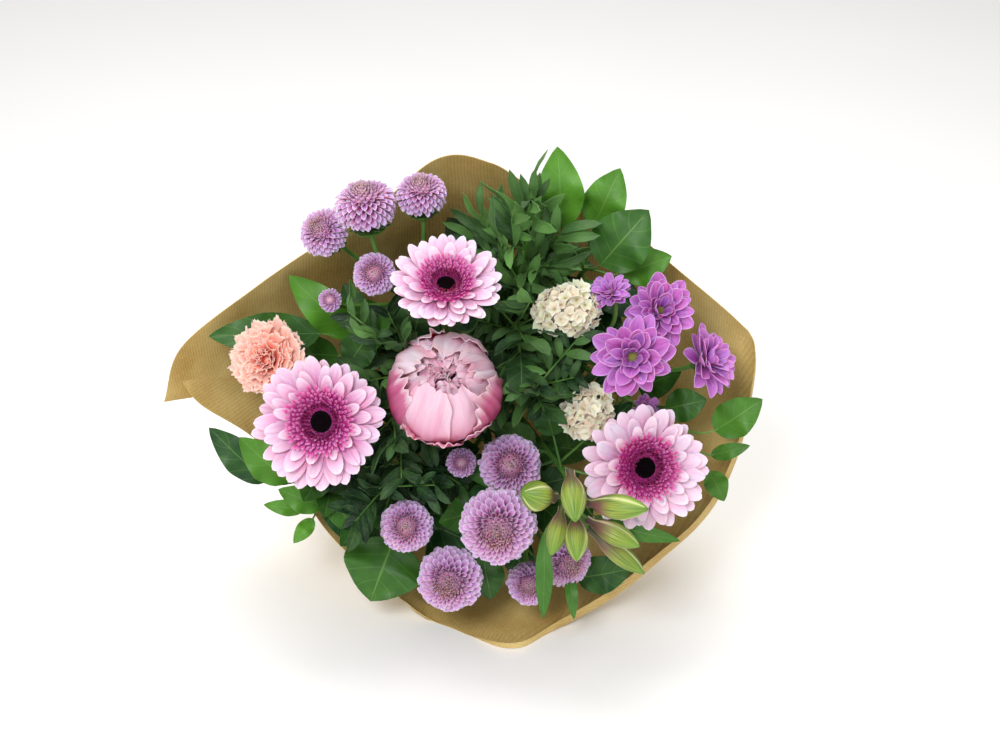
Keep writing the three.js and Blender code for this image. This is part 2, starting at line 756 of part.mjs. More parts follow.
function addNode(name, solid, colour, roughness = 0.6) {
  const material = new THREE.MeshStandardMaterial({ color: COLOURS[colour], roughness, metalness: 0 });
  const mesh = new THREE.Mesh(geometryOf(solid), material);
  mesh.name = name;
  bouquet.add(mesh);
  standing.push({ solid, box: solid.boundingBox() });
}

function placed(solid, frame) {
  return solid.transform(frame.elements);
}

function baseOf({ front, facing }, depth) {
  return vec(front).addScaledVector(vec(facing).normalize(), -depth);
}

// Each stem takes the free place nearest to where it is going, the outer ones first. Two of them
// then change places while that brings both nearer, so that no stem crosses another above the neck.
const routes = new Map();

function planStems(stems) {
  const sorted = [...stems].sort((a, b) => (
    Math.hypot(b.target.x, b.target.y) - Math.hypot(a.target.x, a.target.y)
  ));
  const taken = sorted.map(({ target }) => takeSlot(target));
  let changed = true;
  while (changed) {
    changed = false;
    for (let i = 0; i < sorted.length; i += 1) {
      for (let j = i + 1; j < sorted.length; j += 1) {
        const places = taken[i].clone().sub(taken[j]);
        const targets = sorted[i].target.clone().sub(sorted[j].target);
        if (places.x * targets.x + places.y * targets.y < -1e-6) {
          [taken[i], taken[j]] = [taken[j], taken[i]];
          changed = true;
        }
      }
    }
  }
  sorted.forEach(({ name }, i) => routes.set(name, taken[i]));
}

const depthOf = {
  gerbera: () => 11,
  peony: (head) => head.diameter * 0.92,
  carnation: (head) => head.diameter * 0.43,
  pompon: (head) => head.diameter * 0.76,
  daisy: (head) => (head.diameter / 62) * 15,
  statice: (head) => head.size[2],
};

function forkOf(spray, kind) {
  const mean = new THREE.Vector3();
  spray.heads.forEach((head) => mean.add(baseOf(head, depthOf[kind](head))));
  mean.divideScalar(spray.heads.length);
  return new THREE.Vector3(mean.x * 0.56, mean.y * 0.56, mean.z * 0.62);
}

const singles = [
  ...GERBERAS.map((head) => ({ head, kind: 'gerbera' })),
  { head: PEONY, kind: 'peony' },
  { head: CARNATION, kind: 'carnation' },
];
const sprays = [
  ...LILAC_SPRAYS.map((spray) => ({ spray, kind: 'pompon' })),
  { spray: MAGENTA_SPRAY, kind: 'daisy' },
  { spray: STATICE, kind: 'statice' },
];

planStems([
  ...singles.map(({ head, kind }) => ({ name: head.name, target: baseOf(head, depthOf[kind](head)) })),
  ...sprays.map(({ spray, kind }) => ({ name: spray.name, target: forkOf(spray, kind).multiplyScalar(1.4) })),
  { name: ALSTROEMERIA.name, target: vec(ALSTROEMERIA.centre) },
  ...SALAL.map(({ name, target }) => ({ name, target: vec(target) })),
  ...PISTACIA.map(({ name, target }) => ({ name, target: vec(target) })),
]);

// Radius and depth of the green cup under each kind of head
const cupOf = {
  gerbera: () => [10, 13],
  peony: () => [15, 12],
  carnation: () => [6, 24],
  pompon: (head) => [head.diameter * 0.26, 7],
  daisy: (head) => [head.diameter * 0.14, 8],
  statice: () => [3, 5],
};

// Stem bent in the first of a few ways that keeps it clear of what stands
const BENDS = [
  EASY_BEND, [0.22, 0.34], [0.46, 0.34], [0.34, 0.22], [0.34, 0.46], [0.2, 0.5], [0.5, 0.2], [0.14, 0.2],
  [0.6, 0.34], [0.34, 0.6], [0.1, 0.6], [0.7, 0.2], [0.1, 0.1], [0.6, 0.6],
];

function clearStem(slot, target, arriving, steps, radius) {
  const ways = BENDS.map((shares) => {
    const route = stemRoute(slot, target, arriving, steps, shares);
    return { route, solid: solidOf(tube(route, radius)) };
  });
  return ways.find(({ solid }) => isClear(solid, standing, STEM_GAP)) ?? ways[0];
}

// Point of a route at some distance back from its end
function backAlong(route, distance) {
  let left = distance;
  for (let i = route.length - 1; i > 0; i -= 1) {
    const step = route[i].distanceTo(route[i - 1]);
    if (left <= step) return route[i].clone().lerp(route[i - 1], left / step);
    left -= step;
  }
  return route[0].clone();
}

// Single flowers
function addSingle({ head, kind }, seed) {
  const random = draws(seed);
  const base = baseOf(head, depthOf[kind](head));
  const facing = vec(head.facing).normalize();
  const frame = headFrame(base, head.facing);
  const [cupRadius, cupDepth] = cupOf[kind](head);
  const foot = base.clone().addScaledVector(facing, 1 - cupDepth);
  const stem = clearStem(routes.get(head.name), foot, facing, 5, STEM_RADIUS);
  const stemSolid = join([stem.solid, placed(cup(cupRadius, cupDepth), frame)]);
  addNode(`${head.name}_stem`, stemSolid, 'stem');
  if (kind === 'gerbera') {
    addNode(`${head.name}_petals`, placed(gerberaPetals(head, random), frame), 'blush');
    addNode(`${head.name}_eye`, placed(gerberaEye(head), frame), 'eye');
  }
  if (kind === 'peony') addNode(`${head.name}_petals`, placed(peonyPetals(head, random), frame), 'peony');
  if (kind === 'carnation') addNode(`${head.name}_petals`, placed(carnationPetals(head), frame), 'peach');
}

// Branched stems with a head on each branch
function addSpray({ spray, kind }, seed) {
  const random = draws(seed);
  const fork = forkOf(spray, kind);
  const slot = routes.get(spray.name);
  const forkAim = fork.clone().sub(stemPoint(slot, 0)).normalize();
  const pieces = [clearStem(slot, fork, forkAim, 3, STEM_RADIUS).solid];
  spray.heads.forEach((head) => {
    const base = baseOf(head, depthOf[kind](head));
    const facing = vec(head.facing).normalize();
    const [cupRadius, cupDepth] = cupOf[kind](head);
    const foot = base.clone().addScaledVector(facing, 1 - cupDepth);
    const start = fork.clone().addScaledVector(forkAim, -4);
    pieces.push(solidOf(tube(bend(start, forkAim, foot, facing, 3), BRANCH_RADIUS, STALK_SIDES)));
    pieces.push(placed(cup(cupRadius, cupDepth), headFrame(base, head.facing)));
  });
  addNode(`${spray.name}_stem`, join(pieces), 'stem');
  spray.heads.forEach((head, i) => {
    const frame = headFrame(baseOf(head, depthOf[kind](head)), head.facing);
    const form = { pompon: pomponHead, daisy: daisyHead, statice: staticeHead }[kind](head, random);
    const colour = { pompon: 'lilac', daisy: 'magenta', statice: 'cream' }[kind];
    addNode(`${spray.name}_head_${i + 1}`, placed(form, frame), colour);
  });
}

function addAlstroemeria() {
  const { name, centre, buds, leaves } = ALSTROEMERIA;
  const top = vec(centre).add(new THREE.Vector3(0, 0, -26));
  const slot = routes.get(name);
  const aim = new THREE.Vector3(0.1, -0.05, 1).normalize();
  const pieces = [clearStem(slot, top, aim, 5, STEM_RADIUS).solid];
  buds.forEach(({ root, tip, width }) => {
    const start = vec(root);
    const end = vec(tip);
    const along = end.clone().sub(start).normalize();
    const frame = bladeFrame(start, end, up);
    pieces.push(solidOf(budForm(start.distanceTo(end), width).applyMatrix4(frame)));
    const stalk = bend(top.clone().addScaledVector(aim, -3), aim, start.addScaledVector(along, 3), along, 2);
    pieces.push(solidOf(tube(stalk, BRANCH_RADIUS, STALK_SIDES)));
  });
  leaves.forEach(({ root, tip, width }) => {
    const start = vec(root);
    const end = vec(tip);
    pieces.push(leafBetween(start, end, width, up, STRAP_OUTLINE));
    const along = end.clone().sub(start).normalize();
    const leaving = along.clone().add(aim).normalize();
    const stalk = bend(top.clone(), leaving, start.addScaledVector(along, 2.5), along, 2);
    pieces.push(solidOf(tube(stalk, STALK_RADIUS, STALK_SIDES)));
  });
  addNode(name, join(pieces), 'bud');
}

// Broad-leaved stems. Each leaf is tried at a few rolls and pitches, and the first clear one stays.
const PITCHES = [0, 0.16, -0.16, 0.32, -0.32, 0.48, -0.48];

function pitchedTip(root, tip, side, pitch) {
  const reach = tip.clone().sub(root);
  const length = reach.length();
  reach.addScaledVector(side, Math.tan(pitch) * length);
  return root.clone().addScaledVector(reach.normalize(), length);
}

function addSalal({ name, target, facing, leaves }) {
  const end = vec(target);
  const aim = vec(facing).normalize();
  const side = vec(LEAF_VIEWED_FROM);
  const pieces = [clearStem(routes.get(name), end, aim, 4, SLIM_STEM_RADIUS).solid];
  leaves.forEach(({ root, tip, width }) => {
    const start = vec(root);
    const stalkStart = end.clone().addScaledVector(aim, -5);
    const leaving = start.clone().sub(end).normalize().add(aim).normalize();
    PITCHES.some((pitch) => {
      const turned = pitchedTip(start, vec(tip), side, pitch);
      const along = turned.clone().sub(start).normalize();
      const stalkEnd = start.clone().addScaledVector(along, 3);
      const stalkRoute = bend(stalkStart, leaving, stalkEnd, along, 2);
      const stalk = solidOf(tube(stalkRoute, STALK_RADIUS, STALK_SIDES));
      const leaf = leafBetween(start, turned, width, side);
      if (!isClear(leaf, standing) || !isClear(stalk, standing)) return false;
      pieces.push(leaf, stalk);
      return true;
    });
  });
  addNode(name, join(pieces), 'leaf');
}

// Pinnate foliage: place of each leaflet along its twig, and the side it leans to
const LEAFLET_PLACES = [[0.42, 1], [0.54, -1], [0.82, 1], [1, -0.3]];
const LEAFLET_WIDTH = 0.4;
const LEAFLET_SINK = 2;
const TWIG_TURNS = [0, 0.5, -0.5, 1, -1, 1.5, -1.5];
const TWIG_SPAN = 62;
const TWIG_LENGTH = [34, 42];
const TWIG_SPREAD = [1.15, 0.12];
const GOLDEN_ANGLE = Math.PI * (3 - Math.sqrt(5));

// First clear twig of those tried from a root, as its direction, its tip and its solid
function clearTwig(root, frame, spread, turn, length) {
  const twigs = TWIG_TURNS.map((offset) => {
    const direction = towards(spread, turn + offset).transformDirection(frame);
    const tip = root.clone().addScaledVector(direction, length);
    const start = root.clone().addScaledVector(direction, 4);
    return { direction, tip, free: solidOf(tube([start, tip], TWIG_RADIUS, STALK_SIDES)) };
  });
  return twigs.find(({ free }) => isClear(free, standing));
}

// First clear leaflet of those tried at a foot, apart from its root, which is sunk in the twig
function clearLeaflet(foot, out, face, length, width, others) {
  const wanted = foot.clone().addScaledVector(out, length);
  const start = foot.clone().addScaledVector(out, LEAFLET_SINK);
  const tip = PITCHES.map((pitch) => pitchedTip(foot, wanted, face, pitch)).find((point) => (
    isClear(leafBetween(start, point, width, face, LEAFLET_OUTLINE), others)
  ));
  return tip && leafBetween(foot, tip, width, face, LEAFLET_OUTLINE);
}

// Twigs wind up the stem, each with leaflets to both sides and one at its end
function addPistacia({ name, target, facing, twigs, leaflet }, seed) {
  const random = draws(seed);
  const end = vec(target);
  const aim = vec(facing).normalize();
  const stem = clearStem(routes.get(name), end, aim, 5, SLIM_STEM_RADIUS);
  const pieces = [stem.solid];
  const frame = headFrame(end, facing);
  const others = [...standing];
  for (let i = 0; i < twigs; i += 1) {
    const part = i / (twigs - 1);
    const root = backAlong(stem.route, TWIG_SPAN * (1 - part) + 2);
    const turn = i * GOLDEN_ANGLE + random();
    const twig = clearTwig(root, frame, mix(...TWIG_SPREAD, part), turn, mix(...TWIG_LENGTH, random()));
    if (!twig) continue;
    pieces.push(solidOf(tube([root, twig.tip], TWIG_RADIUS, STALK_SIDES)));
    const side = new THREE.Vector3().crossVectors(twig.direction, aim).normalize();
    const face = new THREE.Vector3().crossVectors(side, twig.direction).normalize();
    for (const [place, lean] of LEAFLET_PLACES) {
      const foot = root.clone().lerp(twig.tip, place - 0.03);
      const length = leaflet * mix(0.85, 1.15, random());
      const out = twig.direction.clone().addScaledVector(side, lean * 1.15);
      out.addScaledVector(face, 0.25 * (random() - 0.5)).normalize();
      const leaf = clearLeaflet(foot, out, face, length, leaflet * LEAFLET_WIDTH, others);
      if (!leaf) continue;
      pieces.push(leaf);
      others.push({ solid: leaf, box: leaf.boundingBox() });
    }
  }
  addNode(name, join(pieces), 'leaflet');
}

// Assembly
const wrap = new THREE.Mesh(
  paperWrap(),
  new THREE.MeshStandardMaterial({ color: COLOURS.paper, roughness: 0.8, metalness: 0 }),
);
wrap.name = 'kraft_wrap';
const wrapInBouquet = solidOf(wrap.geometry.clone().applyMatrix4(layDown.clone().invert()));
standing.push({ solid: wrapInBouquet, box: wrapInBouquet.boundingBox() });

const bundleRadius = FARTHEST_STEM * STEM_PITCH + STEM_RADIUS;
addNode('binding_twine', solidOf(cordRing(bundleRadius + GAP, TWINE_RADIUS, 2, -1)), 'twine', 0.9);
const wrapRadius = PAPER_NECK_RADIUS + PAPER_LAP + PLEAT_DEPTH;
addNode('wrap_tie', solidOf(cordRing(wrapRadius + TIE_CLEAR, TIE_RADIUS, 2, -2)), 'tie', 0.7);
singles.forEach((single, i) => addSingle(single, SINGLE_SEED + i));
sprays.forEach((spray, i) => addSpray(spray, SPRAY_SEED + i));
addAlstroemeria();
SALAL.forEach(addSalal);
PISTACIA.forEach((stem, i) => addPistacia(stem, PISTACIA_SEED + i));

bouquet.rotation.x = Math.PI / 2 - AXIS_RISE;
bouquet.position.z = NECK_HEIGHT;

const group = new THREE.Group();
group.add(wrap, bouquet);
group.position.set(ORIGIN_SHIFT[0], ORIGIN_SHIFT[1], 0);
group.updateMatrixWorld(true);

export default group;
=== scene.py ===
"""Dresses a hand-tied bouquet in kraft paper: petals, leaves, stems, wrap, light and camera."""

import math

import bmesh
import bpy
from mathutils import Matrix, Vector, noise
from mathutils.bvhtree import BVHTree
from mathutils.kdtree import KDTree


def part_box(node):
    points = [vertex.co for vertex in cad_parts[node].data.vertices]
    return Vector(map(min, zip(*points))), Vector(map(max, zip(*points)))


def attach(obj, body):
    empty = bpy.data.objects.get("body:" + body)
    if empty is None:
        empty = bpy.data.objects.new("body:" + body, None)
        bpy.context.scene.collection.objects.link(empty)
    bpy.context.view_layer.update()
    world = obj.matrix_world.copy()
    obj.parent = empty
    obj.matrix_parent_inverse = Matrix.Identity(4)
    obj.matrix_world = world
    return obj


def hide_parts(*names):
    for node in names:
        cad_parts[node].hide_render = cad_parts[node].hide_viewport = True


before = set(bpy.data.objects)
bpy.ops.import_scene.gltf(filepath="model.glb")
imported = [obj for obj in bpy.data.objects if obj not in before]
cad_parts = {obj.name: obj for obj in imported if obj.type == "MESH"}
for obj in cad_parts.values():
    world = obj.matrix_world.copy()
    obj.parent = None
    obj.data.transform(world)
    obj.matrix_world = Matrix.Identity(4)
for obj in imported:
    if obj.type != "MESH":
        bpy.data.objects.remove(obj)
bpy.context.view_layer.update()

bl_info = {
    "name": "Mixed bouquet in kraft paper",
    "version": (1, 0, 0),
    "blender": (4, 5, 0),
    "location": "View3D > Sidebar > Bouquet",
    "description": "Builds the petals, leaves, stems and paper of a hand-tied bouquet",
    "category": "Add Mesh",
}

# The bouquet has its own frame in millimetres: u to the right, v up across the bunch and w along
# it, from the cut stems to the blooms, with the tied neck at 0, 0, 0.
MILLIMETRES = 1000  # in a metre
AXIS_RISE = math.radians(20)
NECK_HEIGHT = 90
ORIGIN_SHIFT = (11.65, 50.7)
LAY_DOWN = Matrix.Translation((*ORIGIN_SHIFT, NECK_HEIGHT)) @ Matrix.Rotation(
    math.pi / 2 - AXIS_RISE, 4, "X"
)
TO_METRES = Matrix.Scale(1 / MILLIMETRES, 4) @ LAY_DOWN
FROM_METRES = TO_METRES.inverted()

# Paper wrap
PAPER_NECK_RADIUS = 20.1
PAPER_LAP = 3
PAPER_PLEATS = 10.6
PLEAT_DEPTH = 1.1
PAPER_BELLY = 8
PAPER_SAG = 24
SKIRT_LENGTH = 62
SKIRT_FLARE = 15
SKIRT_SHARE = 0.16
COLLAR = 6
RIB_DIRECTION = math.radians(-27)
ROLLED = (-1.95, 0.3)
ROLL_START = 0.95
ROLL_RADIUS = 3.6
ROLL_TURN = 2.6
ROLL_LEAD = 8
# Soft folds: their depth, how many go round and how far they wind on the way to the rim
FOLDS = (1.8, 9, 5)
CREASE = 3.2
LIFT_OFF_FLOOR = 0.4
PAPER_RIM = [
    (-220, 10, 185), (-208, 50, 180), (-155, 90, 165), (-94, 129, 160), (-34, 175, 168),
    (7, 176, 170), (35, 160, 163), (77, 140, 158), (116, 120, 160), (178, 67, 175),
    (194, 42, 183), (189, -20, 176), (168, -73, 170), (128, -115, 172), (59, -160, 180),
    (22, -170, 200), (-29, -160, 174), (-66, -134, 172), (-110, -94, 160), (-139, -55, 155),
    (-165, -20, 162), (-198, 6, 172), (-212, 27, 175),
]

# Stems at the neck stand in a honeycomb and lean round the axis
STEM_PITCH = 5.1
FARTHEST_STEM = math.sqrt(7)
STEM_RADIUS = 2.4
SLIM_STEM_RADIUS = 2.25
SPIRAL = 1 / 90
STEM_BELOW = 186
STRAIGHT_ABOVE = 30
CUT_CLEARANCE = 0.4
CUT_STEP = 0.25
GATHER = 14 / 190
# Where a spray's stem branches, as shares of the way to its heads, and how far past it the stem aims
FORK = (0.56, 0.56, 0.62)
PAST_FORK = 1.4
BRANCH_RADIUS = 1.4
FULL_BRANCH_RADIUS = 1.9
STALK_RADIUS = 1.1
TWIG_RADIUS = 0.8
EASY_BEND = (0.34, 0.34)
BENDS = [
    EASY_BEND, (0.22, 0.34), (0.46, 0.34), (0.34, 0.22), (0.34, 0.46), (0.2, 0.5), (0.5, 0.2),
    (0.14, 0.2), (0.6, 0.34), (0.34, 0.6), (0.1, 0.6), (0.7, 0.2), (0.1, 0.1), (0.6, 0.6),
]


def bloom(front, facing, diameter, **more):
    """Front of a bloom, the way it faces, how far across it is, and what its kind has besides."""
    return dict(front=front, facing=facing, diameter=diameter, **more)


def leaf(root, tip, width, shade=0.45):
    """Ends and width of a leaf or bud, and its shade from dark, 0, to bright, 1. The shade is partly
    the leaf's own tone and partly painted light: leaves in shade, low or deep in the bunch, are darker.
    """
    return dict(root=root, tip=tip, width=width, shade=shade)


GERBERAS = [
    bloom((-22, 105, 248), (0.05, 0.69, 0.72), 75, name="gerbera_top", cup=18, pale=(0.25, 0.7)),
    bloom((-107, 9, 238), (-0.1, 0.24, 0.97), 92, name="gerbera_left", cup=16, pale=(0, 0.35)),
    bloom((112, -23, 238), (0.12, 0.24, 0.96), 88, name="gerbera_right", cup=16, pale=(0.5, 1)),
]
GERBERA_DIAMETER = 92
DAISY_DIAMETER = 62
PEONY = bloom((-24, 41, 258), (0, 0.5, 0.87), 76, name="peony")
CARNATION = bloom((-147, 48, 214), (-0.25, 0.33, 0.91), 58, name="carnation")
LILAC_SPRAYS = [
    dict(name="lilac_top", heads=[
        bloom((-112, 138, 204), (-0.45, 0.52, 0.73), 35),
        bloom((-79, 166, 215), (-0.15, 0.92, 0.37), 44),
        bloom((-40, 170, 212), (-0.05, 0.89, 0.46), 36),
        bloom((-71, 108, 222), (0, 0.29, 0.96), 30),
        bloom((-103, 87, 205), (-0.1, 0.34, 0.94), 17),
    ]),
    dict(name="lilac_middle", heads=[
        bloom((21, -24, 227), (0, 0.29, 0.96), 45),
        bloom((12, -64, 264), (0, -0.06, 1), 54),
        bloom((-13, -27, 212), (0, 0.2, 0.98), 22),
    ]),
    dict(name="lilac_left", heads=[
        bloom((-23, -112, 232), (-0.1, -0.06, 0.99), 48),
        bloom((-51, -67, 232), (0, 0.24, 0.97), 38),
    ]),
    dict(name="lilac_right", heads=[
        bloom((66, -101, 221), (0.4, -0.08, 0.91), 39),
        bloom((35, -120, 208), (0, 0.04, 1), 33),
    ]),
]
MAGENTA_SPRAY = dict(name="magenta", heads=[
    bloom((100, 55, 248), (-0.1, 0.14, 0.98), 62),
    bloom((121, 84, 228), (0.1, 0.34, 0.94), 54),
    bloom((86, 96, 220), (-0.3, 0.64, 0.69), 31),
    bloom((160, 48, 215), (0.7, 0.4, 0.59), 54),
    bloom((115, 12, 212), (0.2, 0.2, 0.96), 22),
])
STATICE = dict(name="statice", heads=[
    dict(front=(59, 85, 228), facing=(0, 0.3, 0.95), size=(34, 23, 14)),
    dict(front=(73, 14, 232), facing=(0, 0.25, 0.97), size=(25, 27, 14)),
])
ALSTROEMERIA = dict(
    name="alstroemeria",
    centre=(66, -45, 246),
    buds=[
        leaf((50, -40, 250), (27, -32, 268), 22),
        leaf((60, -22, 252), (62, -46, 288), 18),
        leaf((71, -40, 263), (109, -36, 292), 18),
        leaf((55, -48, 248), (47, -75, 270), 15),
        leaf((64, -52, 250), (64, -78, 273), 17),
        leaf((72, -56, 249), (107, -71, 263), 16),
        leaf((74, -66, 238), (113, -98, 240), 15),
    ],
    leaves=[
        leaf((78, -57, 240), (137, -75, 238), 13),
        leaf((44, -70, 234), (44, -134, 232), 12),
        leaf((63, -106, 206), (66, -138, 222), 9),
    ],
)

# Stems of foliage: where each one goes, the way its head faces, and its leaves or twigs. A leaf's
# shade partly paints light and shade: leaves that lie in shade, low or deep in the bunch, are darker.
SALAL = [
    dict(name="salal_top", target=(74, 104, 172), facing=(0.15, 0.5, 0.85), leaves=[
        leaf((56, 132, 182), (52, 188, 192), 32, 0.9),
        leaf((78, 132, 176), (95, 173, 186), 30, 0.8),
        leaf((82, 108, 194), (113, 147, 206), 42, 0.3),
        leaf((98, 100, 184), (131, 114, 191), 26, 0.75),
    ]),
    dict(name="salal_right", target=(142, -14, 168), facing=(0.5, 0, 0.87), leaves=[
        leaf((130, 6, 188), (158, 14, 194), 24, 0.3),
        leaf((166, -12, 180), (197, 14, 192), 28, 0.6),
        leaf((164, -30, 180), (190, -20, 190), 12, 0.5),
        leaf((164, -42, 178), (174, -62, 186), 17, 0.7),
    ]),
    dict(name="salal_left", target=(-84, 38, 140), facing=(-0.4, 0.3, 0.87), leaves=[
        leaf((-90, 52, 156), (-134, 97, 168), 29, 0.8),
        leaf((-112, 56, 168), (-190, 56, 178), 30, 0.25),
        leaf((-92, 36, 178), (-72, 66, 196), 26, 0.2),
    ]),
    dict(name="salal_low_left", target=(-118, -48, 164), facing=(-0.6, -0.3, 0.75), leaves=[
        leaf((-152, -50, 178), (-191, -8, 186), 25, 0.1),
        leaf((-136, -48, 184), (-168, -12, 198), 27, 0.8),
        leaf((-112, -66, 186), (-142, -50, 197), 20, 0.7),
        leaf((-126, -70, 180), (-154, -64, 188), 12, 0.8),
        leaf((-120, -78, 176), (-134, -94, 184), 12, 0.9),
    ]),
    dict(name="salal_low", target=(-58, -82, 162), facing=(-0.2, -0.5, 0.85), leaves=[
        leaf((-62, -92, 178), (-79, -136, 190), 58, 0.35),
    ]),
    dict(name="salal_bottom", target=(22, -92, 160), facing=(0.1, -0.5, 0.85), leaves=[
        leaf((70, -122, 180), (110, -112, 187), 28, 0.2),
        leaf((2, -104, 182), (8, -136, 186), 26, 0.2),
    ]),
]
# The leaflets' shade ranges paint light and shade: brightest at the top of the bunch, darkest low and
# deep in it
PISTACIA = [
    dict(name="pistacia_top", target=(32, 130, 196), facing=(0, 0.75, 0.66), twigs=6, leaflet=34,
         slim=0.68, shade=(0.1, 1)),
    dict(name="pistacia_upper", target=(28, 76, 214), facing=(0.1, 0.3, 0.95), twigs=4, leaflet=30,
         shade=(0, 0.8)),
    dict(name="pistacia_middle", target=(38, 26, 216), facing=(0, 0.1, 1), twigs=4, leaflet=28,
         shade=(0, 0.5)),
    dict(name="pistacia_left", target=(-62, 54, 206), facing=(-0.3, 0.3, 0.9), twigs=4, leaflet=28,
         shade=(0, 0.8)),
    dict(name="pistacia_low_left", target=(-70, -48, 214), facing=(-0.3, -0.2, 0.93), twigs=5,
         leaflet=30, shade=(0, 0.22)),
    dict(name="pistacia_low", target=(-60, 0, 205), facing=(0, -0.1, 0.98), twigs=3, leaflet=28,
         shade=(0, 0.22)),
]
# Where a leaf's tip can lie for the frame to have that leaf: how near, and turned by which angles
FIT = 0.1
PITCHES = [0, 0.16, -0.16, 0.32, -0.32, 0.48, -0.48]
LEAF_VIEWED_FROM = Vector((0, 0.24, 0.97))
ALONG_THE_BUNCH = Vector((0, 0, 1))
LEAFLET_PLACES = [(0.42, 1), (0.54, -1), (0.82, 1), (1, -0.3)]
LEAFLET_WIDTH = 0.4
TWIG_TURNS = [0, 0.5, -0.5, 1, -1, 1.5, -1.5]
TWIG_SPAN = 62
TWIG_LENGTH = (34, 42)
TWIG_SPREAD = (1.15, 0.12)
GOLDEN_ANGLE = math.pi * (3 - math.sqrt(5))

# First seed of each kind's draws
SEEDS = {
    "pistacia": 71, "gerbera": 111, "peony": 121, "carnation": 131, "pompon": 141, "daisy": 191,
    "statice": 201, "alstroemeria": 211, "salal": 221, "stem": 311, "spray": 331,
}
# Widest phase that is drawn for a wave, and farthest place for a noise
PHASES = 6
APART = 40

# Attribute of each form: how far along and across it a point lies, and the tint of its copy
PLACE = "place"


def linear(colour):
    """Linear red, green and blue of an sRGB hex colour. Numbers are a linear colour already."""
    if not isinstance(colour, str):
        return colour
    parts = [int(colour[i:i + 2], 16) / 255 for i in (1, 3, 5)]
    return [p / 12.92 if p <= 0.04045 else ((p + 0.055) / 1.055) ** 2.4 for p in parts]


def mix(low, high, part):
    """Value a share of the way from low to high."""
    return low + (high - low) * part


def oval(widest, blunt, foot=0.0):
    """Outline of a blade that is widest at a share of its length, as a half width for each place.

    The lower blunt is, the rounder the ends are, and foot is the width that its base keeps.
    """
    power = math.log(0.5) / math.log(widest)
    return lambda along: max(
        foot * (1 - along), max(0.0, math.sin(math.pi * min(1, along) ** power)) ** blunt
    )


class Draws:
    """Seeded draws between 0 and 1, the same on every run."""

    def __init__(self, seed):
        self.state = seed

    def __call__(self):
        self.state = self.state * 16807 % 2147483647
        return self.state / 2147483647

    def between(self, low, high):
        """Draw between two values."""
        return mix(low, high, self())


def ring_point(radius, turn, height):
    """Point at a radius and an angle round z."""
    return Vector((radius * math.cos(turn), radius * math.sin(turn), height))


def towards(polar, turn):
    """Direction at an angle from z, turned about it."""
    return ring_point(math.sin(polar), turn, math.cos(polar))


def basis(x, y, z, origin):
    """Frame with these three axes at an origin."""
    made = Matrix((x, y, z)).transposed().to_4x4()
    made.translation = origin
    return made


def head_frame(origin, facing):
    """Frame of a bloom, which faces along its z."""
    z = Vector(facing).normalized()
    y = z.cross(Vector((1, 0, 0))).normalized()
    return basis(y.cross(z), y, z, origin)


def blade_frame(root, tip, side):
    """Frame whose x runs from root to tip and whose z leans to the wanted side."""
    x = (tip - root).normalized()
    y = side.cross(x).normalized()
    return basis(x, y, x.cross(y), root)


def bend(start, leaving, end, arriving, steps, shares=EASY_BEND):
    """Points of a curve that leaves start in one direction and reaches end in another."""
    reach = (end - start).length
    near = start + leaving * reach * shares[0]
    far = end - arriving * reach * shares[1]
    points = []
    for i in range(steps + 1):
        t = i / steps
        s = 1 - t
        points.append(start * s**3 + near * 3 * s * s * t + far * 3 * s * t * t + end * t**3)
    return points


# Stems

def honeycomb():
    """Places of the stems across the neck, as complex numbers."""
    places = [
        complex(STEM_PITCH * (q + r / 2), STEM_PITCH * r * math.sqrt(0.75))
        for q in range(-3, 4) for r in range(-3, 4)
    ]
    return [place for place in places if abs(place) < STEM_PITCH * (FARTHEST_STEM + 0.01)]


def stem_point(slot, w):
    """Point of a stem at w, which leans round the axis."""
    place = slot * complex(1, SPIRAL * w)
    return Vector((place.real, place.imag, w))


def height_of(point):
    """Height of a point of the bouquet's frame above the surface."""
    return NECK_HEIGHT + point.y * math.cos(AXIS_RISE) + point.z * math.sin(AXIS_RISE)


def plan_stems(targets):
    """Place at the neck for each stem, so that no stem crosses another above it."""
    ordered = sorted(targets, key=lambda name: -abs(complex(*targets[name][:2])))
    free = honeycomb()
    taken = []
    for name in ordered:
        wanted = complex(*targets[name][:2]) * GATHER
        taken.append(free.pop(min(range(len(free)), key=lambda i: abs(free[i] - wanted))))
    changed = True
    while changed:
        changed = False
        for i, first in enumerate(ordered):
            for j in range(i + 1, len(ordered)):
                places = taken[i] - taken[j]
                ways = complex(*targets[first][:2]) - complex(*targets[ordered[j]][:2])
                if places.real * ways.real + places.imag * ways.imag < -1e-6:
                    taken[i], taken[j] = taken[j], taken[i]
                    changed = True
    return dict(zip(ordered, taken))


DEPTHS = {
    "gerbera": lambda head: 11,
    "peony": lambda head: head["diameter"] * 0.92,
    "carnation": lambda head: head["diameter"] * 0.43,
    "pompon": lambda head: head["diameter"] * 0.76,
    "daisy": lambda head: head["diameter"] / DAISY_DIAMETER * 15,
    "statice": lambda head: head["size"][2],
}
CUP_DEPTHS = {"gerbera": 13, "peony": 12, "carnation": 24, "pompon": 7, "daisy": 8, "statice": 5}


def base_of(head, kind):
    """Middle of a bloom's underside."""
    return Vector(head["front"]) - Vector(head["facing"]).normalized() * DEPTHS[kind](head)


def fork_of(spray, kind):
    """Point where a spray's stem branches."""
    mean = sum((base_of(head, kind) for head in spray["heads"]), Vector()) / len(spray["heads"])
    return Vector([part * share for part, share in zip(mean, FORK)])


SINGLES = [(head, "gerbera") for head in GERBERAS] + [(PEONY, "peony"), (CARNATION, "carnation")]
SPRAYS = [(spray, "pompon") for spray in LILAC_SPRAYS]
SPRAYS += [(MAGENTA_SPRAY, "daisy"), (STATICE, "statice")]


